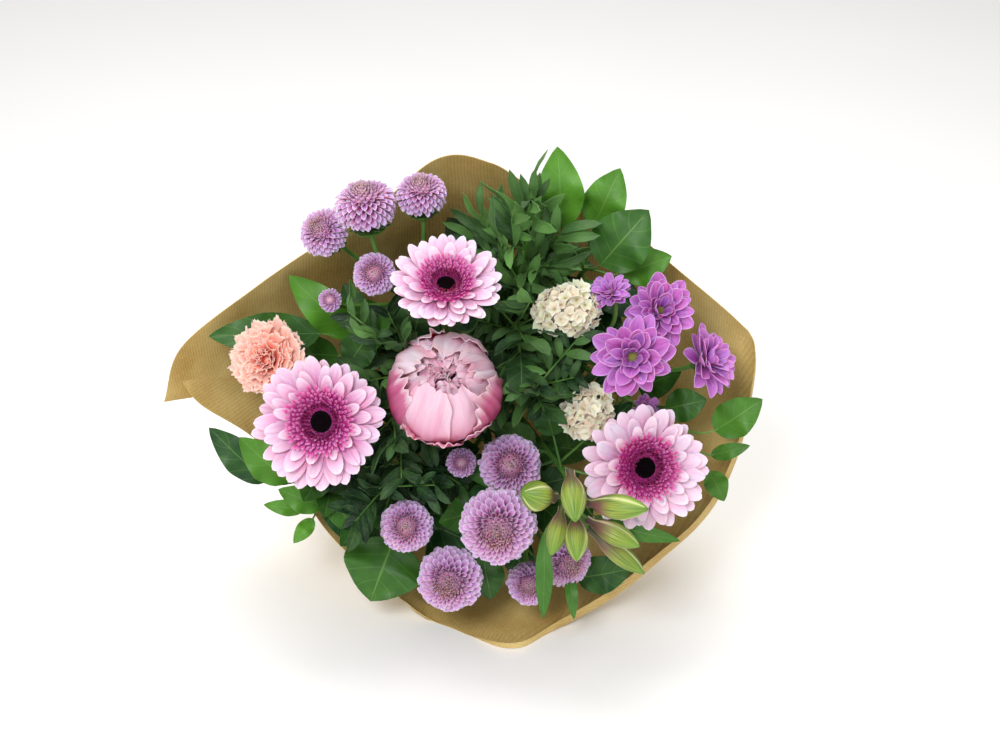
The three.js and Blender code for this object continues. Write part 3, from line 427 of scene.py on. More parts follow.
def stem_targets():
    """Where each stem is going."""
    targets = {head["name"]: base_of(head, kind) for head, kind in SINGLES}
    targets.update({spray["name"]: fork_of(spray, kind) * PAST_FORK for spray, kind in SPRAYS})
    targets[ALSTROEMERIA["name"]] = Vector(ALSTROEMERIA["centre"])
    targets.update({stem["name"]: Vector(stem["target"]) for stem in SALAL + PISTACIA})
    return targets


SLOTS = plan_stems(stem_targets())


def node_points(name):
    """Search tree of a frame node's points, in the bouquet's frame."""
    points = [FROM_METRES @ vert.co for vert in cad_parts[name].data.vertices]
    tree = KDTree(len(points))
    for i, point in enumerate(points):
        tree.insert(point, i)
    tree.balance()
    return tree


def stem_route(slot, target, arriving, steps, shares):
    """Points of a stem, from its cut end to its target."""
    below = -STEM_BELOW
    while height_of(stem_point(slot, below)) < STEM_RADIUS + CUT_CLEARANCE:
        below += CUT_STEP
    top = stem_point(slot, STRAIGHT_ABOVE)
    leaving = (top - stem_point(slot, 0)).normalized()
    return [stem_point(slot, below)] + bend(top, leaving, target, arriving, steps, shares)


def fitted_route(tree, slot, target, arriving, steps, radius):
    """Route of a frame node's stem, coarse and fine: the bend whose stations its points surround."""
    def misfit(shares):
        stations = stem_route(slot, target, arriving, steps, shares)[2:-1]
        return sum(abs(tree.find(station)[2] - radius) for station in stations)
    shares = min(BENDS, key=misfit)
    coarse = stem_route(slot, target, arriving, steps, shares)
    return coarse, stem_route(slot, target, arriving, steps * 4, shares)


def back_along(route, distance):
    """Point of a route at some distance back from its end."""
    for end, start in zip(route[::-1], route[-2::-1]):
        step = (end - start).length
        if distance <= step:
            return end.lerp(start, distance / step)
        distance -= step
    return route[0].copy()


# Mesh making

def new_cluster():
    """Empty mesh that gathers copies of small forms."""
    cluster = bmesh.new()
    cluster.verts.layers.float_vector.new(PLACE)
    return cluster


def blade_form(columns, rows, place, thickness=0.35, ends=1.3):
    """Thin closed blade. place gives a point for 0 to 1 along and -1 to 1 across."""
    form = new_cluster()
    layer = form.verts.layers.float_vector[PLACE]
    bmesh.ops.create_grid(form, x_segments=rows, y_segments=columns, size=0.5)
    for vert in form.verts:
        along = 1 - (0.5 - vert.co.x) ** ends
        across = 2 * vert.co.y
        vert[layer] = (along, across, 0.5)
        vert.co = place(along, across)
    thicken(form, thickness)
    return mesh_of(form, "blade")


def thicken(form, thickness):
    """Makes a sheet a closed shell of even thickness, half of it to each side, its points merged."""
    form.normal_update()
    below = [(vert, vert.normal * thickness / 2) for vert in form.verts]
    above = bmesh.ops.extrude_face_region(form, geom=form.faces[:], use_keep_orig=True)["geom"]
    for vert in above:
        if isinstance(vert, bmesh.types.BMVert):
            vert.co += vert.normal * thickness / 2
    for vert, step in below:
        vert.co -= step
    bmesh.ops.remove_doubles(form, verts=form.verts[:], dist=0.0005)
    bmesh.ops.recalc_face_normals(form, faces=form.faces[:])


def mesh_of(form, name):
    """Mesh of a bmesh, which is then freed."""
    mesh = bpy.data.meshes.new(name)
    form.to_mesh(mesh)
    form.free()
    return mesh


def lathe_form(profile, segments, scale=1):
    """Round form spun from a profile of radius and height that starts and ends on the axis."""
    form = new_cluster()
    layer = form.verts.layers.float_vector[PLACE]
    verts = []
    for i, (radius, height) in enumerate(profile):
        vert = form.verts.new((radius * scale, 0, height * scale))
        vert[layer] = (i / (len(profile) - 1), 0, 0.5)
        verts.append(vert)
    edges = [form.edges.new(pair) for pair in zip(verts, verts[1:])]
    bmesh.ops.spin(
        form, geom=verts + edges, axis=(0, 0, 1), cent=(0, 0, 0), angle=2 * math.pi,
        steps=segments, use_merge=True,
    )
    bmesh.ops.remove_doubles(form, verts=form.verts[:], dist=0.001)
    bmesh.ops.recalc_face_normals(form, faces=form.faces[:])
    return mesh_of(form, "lathe")


def add_object(name, data):
    """Object with this data, in the scene."""
    added = bpy.data.objects.new(name, data)
    bpy.context.scene.collection.objects.link(added)
    return added


def tube_form(routes, sides=8, closed=False):
    """Round tubes along routes. Each route is its points with a radius at its start and end."""
    curve = bpy.data.curves.new("tubes", "CURVE")
    curve.dimensions = "3D"
    curve.bevel_depth = 1
    curve.bevel_resolution = sides // 4
    curve.use_fill_caps = not closed
    for points, first, last in routes:
        spline = curve.splines.new("POLY")
        spline.points.add(len(points) - 1)
        spline.use_cyclic_u = closed
        for i, (spot, point) in enumerate(zip(spline.points, points)):
            spot.co = (*point, 1)
            spot.radius = mix(first, last, i / (len(points) - 1))
    holder = add_object("tubes", curve)
    bpy.context.view_layer.update()
    mesh = bpy.data.meshes.new_from_object(holder)
    bpy.data.objects.remove(holder)
    bpy.data.curves.remove(curve)
    form = bmesh.new()
    form.from_mesh(mesh)
    form.loops.layers.uv.remove(form.loops.layers.uv.active)
    bmesh.ops.remove_doubles(form, verts=form.verts[:], dist=0.0005)
    form.verts.layers.float_vector.new(PLACE)
    return mesh_of(form, "tubes")


def add_copy(cluster, form, matrix=None, tint=0.5, material=0):
    """Adds a copy of a form to a cluster, with a tint of its own."""
    size = len(form.vertices)
    values = [0.0] * (3 * size)
    form.attributes[PLACE].data.foreach_get("vector", values)
    values[2::3] = [tint] * size
    form.attributes[PLACE].data.foreach_set("vector", values)
    form.polygons.foreach_set("material_index", [material] * len(form.polygons))
    placed = form.copy()
    if matrix is not None:
        placed.transform(matrix)
    cluster.from_mesh(placed)
    bpy.data.meshes.remove(placed)


def finish_piece(cluster, name, materials, nodes):
    """Makes a cluster an object that stands for frame nodes."""
    mesh = mesh_of(cluster, name)
    mesh.transform(TO_METRES)
    mesh.shade_smooth()
    mesh.set_sharp_from_angle(angle=math.radians(55))
    piece = add_object(name, mesh)
    for material in materials:
        mesh.materials.append(material)
    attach(piece, "root")
    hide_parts(*nodes)


# Materials

# Cells of each noise per metre, each with the size that gives a cell
LEAF_MOTTLE = 90.0  # 11 mm, paler and darker areas of a blade
LEAF_NET = 420.0  # 2.4 mm, the net of fine veins
STEM_PATCHES = 40.0  # 25 mm
STEM_SKIN = 900.0  # 1.1 mm
CORD_FIBRES = 1200.0  # 0.8 mm
FLOOR_TONES = 3.0  # 330 mm
# Cells per millimetre of the flat sheet of paper
PAPER_DRIFT = 0.02  # 50 mm, how straight the ribs run
PAPER_CLOUDS = 0.025  # 40 mm, paler and darker pulp
PAPER_FIBRES = 0.7  # 1.4 mm
# Cells along a petal, and how far apart in the noise two petals can lie
GRAIN_ALONG = 1.5
GRAIN_APART = 37.0


def fill(tree, made, inputs):
    """Sets or links a node's inputs, which are given by name or in their order."""
    for key, value in inputs.items() if isinstance(inputs, dict) else enumerate(inputs):
        socket = made.inputs[key]
        if isinstance(value, bpy.types.NodeSocket):
            tree.links.new(value, socket)
        else:
            socket.default_value = value


def node(tree, kind, inputs=(), out=0, stops=None, **settings):
    """Adds a node with its inputs, settings and colour stops. Returns one output, or a slice."""
    made = tree.nodes.new("ShaderNode" + kind)
    for key, value in settings.items():
        setattr(made, key, value)
    if stops:
        ramp = made.color_ramp
        ramp.elements[0].position = stops[0][0]
        ramp.elements[1].position = stops[-1][0]
        for position, _ in stops[1:-1]:
            ramp.elements.new(position)
        for element, (_, colour) in zip(ramp.elements, stops):
            element.color = (*linear(colour), 1)
    fill(tree, made, inputs)
    return made.outputs[out]


def new_material(name, inputs):
    """Material with its tree and its plain shader, whose fixed inputs are set."""
    material = bpy.data.materials.new(name)
    material.use_nodes = True
    tree = material.node_tree
    shader = tree.nodes["Principled BSDF"]
    fill(tree, shader, inputs)
    return material, tree, shader


def placed_parts(tree):
    """Sockets that give how far along and across its form a point lies, and the copy's tint."""
    place = node(tree, "Attribute", out="Vector", attribute_name=PLACE)
    return node(tree, "SeparateXYZ", (place,), out=slice(0, 3))


def streaks(tree, along, across, tint, fine):
    """Noise drawn out along a form, as the grain of a petal is. Each copy has its own."""
    scaled = [
        node(tree, "Math", pair, operation="MULTIPLY")
        for pair in [(along, GRAIN_ALONG), (across, fine), (tint, GRAIN_APART)]
    ]
    joined = node(tree, "CombineXYZ", scaled)
    return node(tree, "TexNoise", {"Vector": joined, "Scale": 1.0, "Detail": 3.0})


def overlaid(tree, colour, layers):
    """Colour with others laid over it, each by a share."""
    for share, over in layers:
        inputs = {0: share, 6: colour, 7: (*linear(over), 1)}
        colour = node(tree, "Mix", inputs, out=2, data_type="RGBA")
    return colour


def petal_material(name, stops, rim, streak, other, turned=0.35, roughness=0.5, fine=5.0, shine=0.3):
    """Fresh petal: a grown, satin skin that lets light through, with fine grain from base to tip.

    The eye sees soft highlights, warm light inside the folds and darker veins. stops colour the
    petal from base to tip. rim and streak are the colours of its edge and its grain, each with a
    strength. Some copies turn towards the colour other, by at most the share turned.
    """
    material, tree, shader = new_material(name, {
        "Roughness": roughness, "Specular IOR Level": shine, "Subsurface Weight": 0.4,
        "Subsurface Scale": 0.003,
    })
    along, across, tint = placed_parts(tree)
    grain = streaks(tree, along, across, tint, fine)
    bent = node(tree, "Math", (grain, 0.24, -0.12), operation="MULTIPLY_ADD")
    shifted = node(tree, "Math", (along, bent), operation="ADD")
    body = node(tree, "ValToRGB", (shifted,), stops=stops)
    lines = node(
        tree, "MapRange", {"Value": grain, "From Min": 0.48, "From Max": 0.7, "To Max": streak[1]}
    )
    edge = node(tree, "Math", (across, across), operation="MULTIPLY")
    sharp = node(tree, "Math", (edge, 3.0), operation="POWER")
    rimmed = node(tree, "Math", (sharp, rim[1]), operation="MULTIPLY")
    fade = node(tree, "Math", (tint, turned), operation="MULTIPLY")
    colour = overlaid(tree, body, [(lines, streak[0]), (rimmed, rim[0]), (fade, other)])
    groove = node(tree, "Bump", {"Strength": 0.35, "Distance": 0.0004, "Height": grain})
    fill(tree, shader, {"Base Color": colour, "Normal": groove})
    return material


def leaf_material(name, dark, bright, vein, roughness, veins):
    """Leaf: a grown, waxy green skin with a pale midrib and side veins that run to the edge.

    The eye sees a soft sheen broken by the veins, which lie a little sunk, and a few paler areas.
    """
    material, tree, shader = new_material(name, {
        "Roughness": roughness, "Specular IOR Level": 0.28, "Subsurface Weight": 0.08,
        "Subsurface Scale": 0.001,
    })
    along, across, tint = placed_parts(tree)
    side = node(tree, "Math", (across,), operation="ABSOLUTE")
    slant = node(tree, "Math", (side, -0.22, along), operation="MULTIPLY_ADD")
    phase = node(tree, "Math", (slant, 2 * math.pi * veins), operation="MULTIPLY")
    wave = node(tree, "Math", (phase,), operation="SINE")
    ribs = node(tree, "MapRange", {"Value": wave, "From Min": 0.93, "To Max": 0.13})
    midrib = node(
        tree, "MapRange", {"Value": side, "From Max": 0.045, "To Min": 0.42, "To Max": 0.0}
    )
    lines = node(tree, "Math", (ribs, midrib), operation="MAXIMUM")
    spots = node(tree, "TexCoord", out="Object")
    mottle = node(tree, "TexNoise", {"Vector": spots, "Scale": LEAF_MOTTLE, "Detail": 3.0})
    share = node(tree, "Math", (mottle, 0.5, -0.25), operation="MULTIPLY_ADD")
    # The copy's tint sets how dark the leaf is, partly its own tone and partly painted shade
    shade = node(tree, "Math", (tint, share), operation="ADD", use_clamp=True)
    body = node(tree, "ValToRGB", (shade,), stops=[(0, dark), (1, bright)])
    veined = overlaid(tree, body, [(lines, vein)])
    net = node(tree, "TexNoise", {"Vector": spots, "Scale": LEAF_NET, "Detail": 2.0})
    relief = node(tree, "Math", (net, 0.7, lines), operation="MULTIPLY_ADD")
    sunk = node(
        tree, "Bump", {"Strength": 0.5, "Distance": 0.0004, "Height": relief}, invert=True
    )
    fill(tree, shader, {"Base Color": veined, "Normal": sunk})
    return material


def stem_material():
    """Fresh stem: a smooth, grown green skin, slightly waxy, that pales in patches.

    The eye sees a long soft highlight, broken by fine pores.
    """
    inputs = {"Roughness": 0.45, "Specular IOR Level": 0.4}
    material, tree, shader = new_material("fresh_green_stem", inputs)
    spots = node(tree, "TexCoord", out="Object")
    patches = node(tree, "TexNoise", {"Vector": spots, "Scale": STEM_PATCHES, "Detail": 4.0})
    stops = [(0.3, "#3f6b2c"), (0.55, "#5e8c3c"), (0.75, "#84a35a")]
    body = node(tree, "ValToRGB", (patches,), stops=stops)
    skin = node(tree, "TexNoise", {"Vector": spots, "Scale": STEM_SKIN, "Detail": 2.0})
    pores = node(tree, "Bump", {"Strength": 0.25, "Distance": 0.0002, "Height": skin})
    fill(tree, shader, {"Base Color": body, "Normal": pores})
    return material


def kraft_material(rib_pitch, dark, light):
    """Ribbed kraft paper: unbleached pulp, machine glazed between the ribs pressed into it.

    The eye sees fine stripes that catch the light in turn, over cloudy brown with dark fibres. Besides
    their bump, the ribs lighten and darken the colour in turn, as painted light and shade. Real ribs are
    about 1.5 mm apart, too fine for the render, so they are drawn coarser. They run straight on the
    flat sheet.
    """
    material, tree, shader = new_material("ribbed_kraft_paper", {"Specular IOR Level": 0.4})
    flat = node(tree, "Attribute", out="Vector", attribute_name=PLACE)
    across_ribs = node(tree, "SeparateXYZ", (flat,))
    drift = node(tree, "TexNoise", {"Vector": flat, "Scale": PAPER_DRIFT, "Detail": 2.0})
    drifted = node(tree, "Math", (drift, 3.0, across_ribs), operation="MULTIPLY_ADD")
    phase = node(tree, "Math", (drifted, 2 * math.pi / rib_pitch), operation="MULTIPLY")
    wave = node(tree, "Math", (phase,), operation="SINE")
    ribs = node(tree, "MapRange", {"Value": wave, "From Min": -1.0})
    clouds = node(tree, "TexNoise", {"Vector": flat, "Scale": PAPER_CLOUDS, "Detail": 4.0})
    fibres = node(tree, "TexNoise", {"Vector": flat, "Scale": PAPER_FIBRES, "Detail": 4.0})
    speckle = node(tree, "Math", (fibres, 0.35, -0.17), operation="MULTIPLY_ADD")
    pulp = node(tree, "Math", (clouds, speckle), operation="ADD")
    # The ribs add painted light and shade in stripes to the pulp's own tone
    shade = node(tree, "Math", (ribs, 0.13, pulp), operation="MULTIPLY_ADD")
    body = node(tree, "ValToRGB", (shade,), stops=[(0.3, dark), (0.95, light)])
    glaze = node(tree, "MapRange", {"Value": ribs, "To Min": 0.62, "To Max": 0.42})
    relief = node(tree, "Math", (fibres, 0.25, ribs), operation="MULTIPLY_ADD")
    pressed = node(tree, "Bump", {"Strength": 0.16, "Distance": 0.0005, "Height": relief})
    fill(tree, shader, {"Base Color": body, "Roughness": glaze, "Normal": pressed})
    return material


def cord_material(name, dark, light):
    """Plant-fibre cord: dry twisted strands, matt, with paler and darker fibres side by side."""
    material, tree, shader = new_material(name, {"Roughness": 0.85})
    spots = node(tree, "TexCoord", out="Object")
    fibres = node(tree, "TexNoise", {"Vector": spots, "Scale": CORD_FIBRES, "Detail": 4.0})
    body = node(tree, "ValToRGB", (fibres,), stops=[(0.35, dark), (0.7, light)])
    fuzz = node(tree, "Bump", {"Strength": 0.6, "Distance": 0.0003, "Height": fibres})
    fill(tree, shader, {"Base Color": body, "Normal": fuzz})
    return material


def bud_material():
    """Alstroemeria bud: a grown, waxy skin, brown-purple at its foot and yellow-green above.

    The eye sees pale seams where its petals meet, and darker green stripes along them.
    """
    material, tree, shader = new_material("alstroemeria_bud_skin", {
        "Roughness": 0.5, "Subsurface Weight": 0.15, "Subsurface Scale": 0.002,
    })
    along, across, tint = placed_parts(tree)
    grain = streaks(tree, along, across, tint, 5.0)
    stops = [(0.0, "#4c2c3a"), (0.32, "#7e504b"), (0.54, "#8f9c3a"), (1.0, "#6a9426")]
    body = node(tree, "ValToRGB", (along,), stops=stops)
    seams = node(tree, "MapRange", {"Value": across, "From Min": 0.72, "To Max": 0.75})
    stripes = node(
        tree, "MapRange", {"Value": grain, "From Min": 0.47, "From Max": 0.62, "To Max": 0.85}
    )
    colour = overlaid(tree, body, [(seams, "#dfe2a0"), (stripes, "#4c6a26")])
    ribs = node(tree, "Bump", {"Strength": 0.3, "Distance": 0.0004, "Height": grain})
    fill(tree, shader, {"Base Color": colour, "Normal": ribs})
    return material


# Every petal is a petal_material. Its comment says what its own skin adds for the eye
PETAL_LOOKS = {
    # Long satin ray, deep pink at its foot and nearly white at its blunt tip. Its first three stops
    # are the user's colours
    "gerbera_ray": dict(
        name="gerbera_ray_petal", rim=("#f6e0ec", 0.35), streak=("#cf6cab", 0.55), other="#f4dde8",
        turned=0.5, fine=3.2,
    ),
    # Short magenta floret with a pale tip, so that its ring looks like a brush
    "gerbera_inner": dict(
        name="gerbera_inner_floret", stops=[(0.0, "#7a0d58"), (0.5, "#c02488"), (1.0, "#eb9acc")],
        rim=("#f0b4d8", 0.4), streak=("#9c1c70", 0.25), other="#d64ea4",
    ),
    # Closed floret next to the middle, nearly black with purple tips
    "gerbera_deep": dict(
        name="gerbera_deep_floret", stops=[(0.0, "#14020e"), (0.6, "#43093a"), (1.0, "#9a2f80")],
        rim=("#a8458f", 0.2), streak=("#2a0522", 0.4), other="#52103f", turned=0.6,
    ),
    # Velvety black middle that gives back almost no light
    "gerbera_dark": dict(
        name="gerbera_dark_middle", stops=[(0.0, "#040103"), (0.8, "#080306"), (1.0, "#1c0a17")],
        rim=("#0d040a", 0.1), streak=("#040103", 0.3), other="#0d040a", roughness=0.7, shine=0.06,
    ),
    # Thin inner petal, white at its rim and flushed pink towards its foot
    "peony": dict(
        name="peony_petal",
        stops=[(0.05, "#b02a58"), (0.32, "#d97494"), (0.54, "#ecabbf"), (0.82, "#f3d3de")],
        rim=("#fbe8ee", 0.3), streak=("#d9668f", 0.5), other="#de6f9a", turned=0.5, fine=3.0,
    ),
    # Tougher guard petal, wine red with strong veins and a pale rim
    "peony_guard": dict(
        name="peony_guard_petal",
        stops=[(0.2, "#5c0d30"), (0.55, "#8f2453"), (0.84, "#cf6f96"), (1.0, "#f3d3de")],
        rim=("#f5dfe6", 0.5), streak=("#a8185a", 0.85), other="#7a143e", turned=0.45, fine=4.0,
    ),
    # Papery peach petal, red where it is deep in the bloom
    "carnation": dict(
        name="carnation_petal",
        stops=[(0.2, "#d43f3a"), (0.6, "#ec705e"), (0.9, "#f49c88"), (1.0, "#fbd5c9")],
        rim=("#f9c6b8", 0.35), streak=("#e76b5a", 0.3), other="#fad5c8", turned=0.5, roughness=0.65,
    ),
    # Small lilac spoon with a light rim, so that the rows stay apart
    "pompon": dict(
        name="pompon_petal",
        stops=[(0.36, "#84307a"), (0.6, "#c47abb"), (0.84, "#daa2d0"), (1.0, "#ecc9e4")],
        rim=("#f6e2f0", 0.85), streak=("#ad5fa4", 0.22), other="#e0b0d8", fine=1.6,
    ),
    # Closed petal of the heart, darker, and greenish in the very middle
    "pompon_heart": dict(
        name="pompon_heart_petal", stops=[(0.5, "#7a2563"), (0.8, "#cf90b8"), (1.0, "#f5d9e4")],
        rim=("#f0d3dd", 0.5), streak=("#a9588f", 0.2), other="#b3a86c", turned=0.5, fine=1.6,
    ),
    # Pointed magenta petal with a light edge and dark lines
    "magenta": dict(
        name="magenta_petal", stops=[(0.1, "#872b8b"), (0.4, "#b556b8"), (1.0, "#cd84d1")],
        rim=("#e6bbe8", 0.75), streak=("#8f3798", 0.75), other="#d394d8", turned=0.4, fine=3.4,
    ),
    # Dry, papery cream floret with a yellow throat and a pink flush
    "statice": dict(
        name="statice_papery_floret", stops=[(0.1, "#a08d38"), (0.35, "#e2d7b2"), (1.0, "#f1e8d5")],
        rim=("#f0dfd2", 0.3), streak=("#dfc0ae", 0.5), other="#ecc9ba", turned=0.5, roughness=0.75,
    ),
}


def make_looks(blooms, greenery):
    """Materials of the blooms and greenery, by the name of the look."""
    rays = [(0.36, blooms.gerbera_base), (0.6, blooms.gerbera_middle), (0.84, blooms.gerbera_tip)]
    looks = PETAL_LOOKS | {
        "gerbera_ray": PETAL_LOOKS["gerbera_ray"] | dict(stops=[*rays, (1.0, "#f2d6e4")])
    }
    return {key: petal_material(**look) for key, look in looks.items()} | {
        # Tight green florets of a daisy's middle, matt
        "button": leaf_material("green_button", "#4c5a1e", "#8d9a3c", "#b9b860", 0.6, 3),
        "bud": bud_material(),
        # Leathery blade with a wax coat
        "leaf": leaf_material(
            "broad_leaf_skin", greenery.leaf_dark, greenery.leaf_bright, "#86ad5c", 0.44, 5
        ),
        # Thinner blade with less wax. Its darkest green also serves as painted shade for leaflets deep in
        # the bunch
        "leaflet": leaf_material("leaflet_skin", "#0b2a14", "#64934a", "#86a86c", 0.5, 5),
        "stem": stem_material(),
    }


# Paper

def rim_at(along):
    """Point of the paper's free edge, on a smooth curve through the rim's points."""
    last = len(PAPER_RIM) - 1
    first = min(int(along * last), last - 1)
    t = along * last - first
    p1, p2 = Vector(PAPER_RIM[first]), Vector(PAPER_RIM[first + 1])
    p0 = Vector(PAPER_RIM[first - 1]) if first else 2 * p1 - p2
    p3 = Vector(PAPER_RIM[first + 2]) if first + 2 <= last else 2 * p2 - p1
    start, stop = (p2 - p0) / 2, (p3 - p1) / 2
    return (
        p1 + start * t + (3 * (p2 - p1) - 2 * start - stop) * t**2
        + (2 * (p1 - p2) + start + stop) * t**3
    )


def paper_columns(count):
    """For each column of the paper: its share of the rim, its rim point, its angle round the axis
    and its angle on the flat sheet."""
    columns = []
    flat_turn = 0
    for i in range(count + 1):
        along = i / count
        rim = rim_at(along)
        turn = math.atan2(rim.y, rim.x)
        if columns:
            while turn > columns[-1][2] + 0.5:
                turn -= 2 * math.pi
            flat_turn += rim.angle(columns[-1][1])
        columns.append((along, rim, turn, flat_turn))
    return columns


def paper_point(column, rise):
    """Point of the paper, and where it lies on the flat sheet, for a rise of 0 at the skirt's hem
    to 1 at the rim."""
    along, rim, turn, flat_turn = column
    lap = PAPER_LAP * along
    pleat = PLEAT_DEPTH * math.cos(2 * math.pi * PAPER_PLEATS * along)
    if rise < SKIRT_SHARE:
        w = mix(-SKIRT_LENGTH, COLLAR, rise / SKIRT_SHARE)
        flare = SKIRT_FLARE * min(0, w / SKIRT_LENGTH) ** 2
        radius = PAPER_NECK_RADIUS + lap + flare + pleat * (1 + flare / 6)
        spot = ring_point(radius, turn, w)
        reach = w - COLLAR
    else:
        part = (rise - SKIRT_SHARE) / (1 - SKIRT_SHARE)
        radius = PAPER_NECK_RADIUS + lap + pleat
        neck = ring_point(radius, turn, COLLAR)
        out = ring_point(1, turn, -0.6).normalized()
        under = max(0, -math.sin(turn)) ** 4
        belly = (PAPER_BELLY + PAPER_SAG * under) * math.sin(math.pi * part)
        depth, number, winding = FOLDS
        fold = depth * math.sin(number * turn + winding * part) * part * (1 - part * 0.4)
        crease = CREASE * noise.noise(Vector((3.2 * turn, 2.6 * part, 4))) * part
        bulge = out * (belly + fold + crease)
        spot = neck.lerp(rim, part) + bulge
        roll = roll_at(turn)
        if part > ROLL_START and roll > 0:
            angle = ROLL_TURN * roll * (part - ROLL_START) / (1 - ROLL_START)
            ahead = (rim - neck).normalized() * (ROLL_RADIUS * math.sin(angle) + ROLL_LEAD)
            inwards = out * ROLL_RADIUS * (1 - math.cos(angle))
            rolled = neck.lerp(rim, ROLL_START) + bulge + ahead - inwards
            spot = spot.lerp(rolled, min(1, 3 * roll))
        reach = part * (rim - neck).length
    across_ribs = flat_turn - RIB_DIRECTION
    return spot, (reach * math.cos(across_ribs), reach * math.sin(across_ribs))


def roll_at(turn):
    """How far the rim is rolled in at an angle round the axis, from 0 to 1."""
    middle, half = sum(ROLLED) / 2, (ROLLED[1] - ROLLED[0]) / 2
    return max(0, 1 - ((turn - middle) / half) ** 2) ** 0.5


def make_wrap(settings):
    """Paper cone with its pleated neck, laid on the surface."""
    count, rows = settings.paper_columns, settings.paper_rows
    columns = paper_columns(count)
    cluster = new_cluster()
    layer = cluster.verts.layers.float_vector[PLACE]
    bmesh.ops.create_grid(cluster, x_segments=count, y_segments=rows, size=0.5)
    stood_up = LAY_DOWN.inverted()
    for vert in cluster.verts:
        column = columns[round((vert.co.x + 0.5) * count)]
        spot, flat = paper_point(column, vert.co.y + 0.5)
        laid = LAY_DOWN @ spot
        laid.z = max(laid.z, LIFT_OFF_FLOOR)
        vert.co = stood_up @ laid
        vert[layer] = (*flat, 0.5)
    thicken(cluster, settings.paper_thickness * MILLIMETRES)
    pitch = settings.rib_pitch * MILLIMETRES
    kraft = kraft_material(pitch, settings.paper_dark, settings.paper_light)
    finish_piece(cluster, "kraft_paper_wrap", [kraft], ["kraft_wrap"])


CORD_STRANDS = 3
CORD_TWISTS = 34


def twisted_ring(radius, cord, w):
    """Strands of a cord laid in a ring round the neck, as closed routes."""
    routes = []
    steps = CORD_TWISTS * 8
    for strand in range(CORD_STRANDS):
        points = []
        for i in range(steps):
            turn = 2 * math.pi * i / steps
            lay = CORD_TWISTS * turn + 2 * math.pi * strand / CORD_STRANDS
            reach = radius + 0.5 * cord * math.cos(lay)
            points.append(ring_point(reach, turn, w + 0.5 * cord * math.sin(lay)))
        routes.append((points, cord * 0.52, cord * 0.52))
    return routes


def make_cord_ring(name, node_name, material, cord):
    """Two turns of twisted cord where the frame has its plain ring."""
    low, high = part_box(node_name)
    radius = (high.x - low.x) / 2 * MILLIMETRES - cord
    routes = twisted_ring(radius, cord, -cord) + twisted_ring(radius, cord, cord)
    cluster = new_cluster()
    add_copy(cluster, tube_form(routes, sides=4, closed=True))
    finish_piece(cluster, name, [material], [node_name])


# Petals and blooms

RAY_OUTLINE = oval(0.67, 0.52, 0.36)
POINTED_OUTLINE = oval(0.62, 0.6, 0.35)
SPOON_OUTLINE = oval(0.72, 0.42, 0.5)

# Profiles of the hidden middles that hold the petals, as radius and height in millimetres
RAY_HUB = [(0, 0), (5, 0), (7, 2.5), (6.5, 5), (0, 5.4)]
PEONY_HUB = [(0, 0), (8, 0), (14, 6), (0, 10)]
DAISY_CORE = [(0, 0), (5, 0), (6, 4), (4, 7.5), (2, 8.8), (0, 9)]
BEAD = [(0, 0), (0.5, 0.1), (0.42, 0.9), (0, 1.15)]
# The same as shares of a bloom's radius
PEONY_CORE = [(0, 0.3), (0.3, 0.36), (0.5, 0.52), (0.56, 0.8), (0.48, 1.08), (0.28, 1.28), (0, 1.34)]
POMPON_CORE = [(0, 0.02), (0.34, 0.12), (0.6, 0.55), (0.5, 0.9), (0.25, 1.05), (0, 1.08)]
STATICE_CORE = [(0, 0), (0.56, 0.05), (0.7, 0.34), (0.48, 0.56), (0, 0.62)]

# Layers of a gerbera's rays: share of the rays, share of the reach, tilt past the cup, lift, turn
GERBERA_LAYERS = [
    (1, 1.0, -1, 1.2, 0), (1, 0.96, 2, 2.2, 0.5), (0.85, 0.85, 6, 3.2, 0.2), (0.7, 0.67, 11, 4.2, 0.7),
]
# Rings of its florets: share of the reach where they start, count, length and tilt
PINK_FLORETS = [
    (0.4, 42, 0.12, 36), (0.36, 40, 0.11, 48), (0.32, 38, 0.1, 56), (0.28, 34, 0.1, 62),
    (0.245, 30, 0.09, 68),
]
DARK_FLORETS = [(0.22, 30, 0.1, 60), (0.19, 26, 0.09, 74), (0.16, 22, 0.08, 84)]
FLORET_SLOPE = 9
BEADS = 90

# Layers of the peony's petals: where they stand, their size and width, their rim's angle from the
# top, their crumple, tint and curled lip, and the guards' own material. The tints are partly painted
# light: the upper petals, which lie in shade, are kept nearly white, the front ones, which face the
# lights, pinker, and the inner rows pinker still, as painted shade in the opening.
PEONY_LAYERS = [
    dict(turns=(338, 200), size=1.05, width=1.15, high=(0.6, 0.72), crumple=3, pink=(0, 1), lip=3,
         material=1),
    dict(turns=(64, 112), size=1.03, width=0.8, high=(0.6, 0.72), crumple=3.4, pink=(0, 0.4), lip=3),
    dict(turns=(232, 268, 306), size=1.02, width=0.66, high=(1.1, 1.35), crumple=2, pink=(0, 0.8),
         lip=5, material=1),
    dict(turns=(243, 292), size=1.0, width=1.12, high=(0.24, 0.36), crumple=3, pink=(0.5, 0.7),
         lip=1.6),
    dict(turns=(28, 86, 142), size=0.98, width=1.05, high=(0.3, 0.5), crumple=4, pink=(0, 0.05),
         lip=2),
    dict(turns=(0, 60, 120, 180, 215, 330), size=0.92, width=0.9, high=(0.28, 0.5), crumple=4.2,
         pink=(0.1, 0.6), lip=1.6),
    dict(turns=range(20, 380, 52), size=0.85, width=0.72, high=(0.14, 0.4), crumple=4.4,
         pink=(0.3, 0.9)),
    dict(turns=range(0, 360, 60), size=0.78, width=0.56, high=(0.05, 0.3), crumple=4.4,
         pink=(0.4, 1)),
]
PEONY_HEART_PETALS = 12
CARNATION_PETALS = 36

# A pompon's closed heart reaches this far from its top, and its petals that far, in radians
POMPON_HEART = 0.46
POMPON_EDGE = math.radians(127)

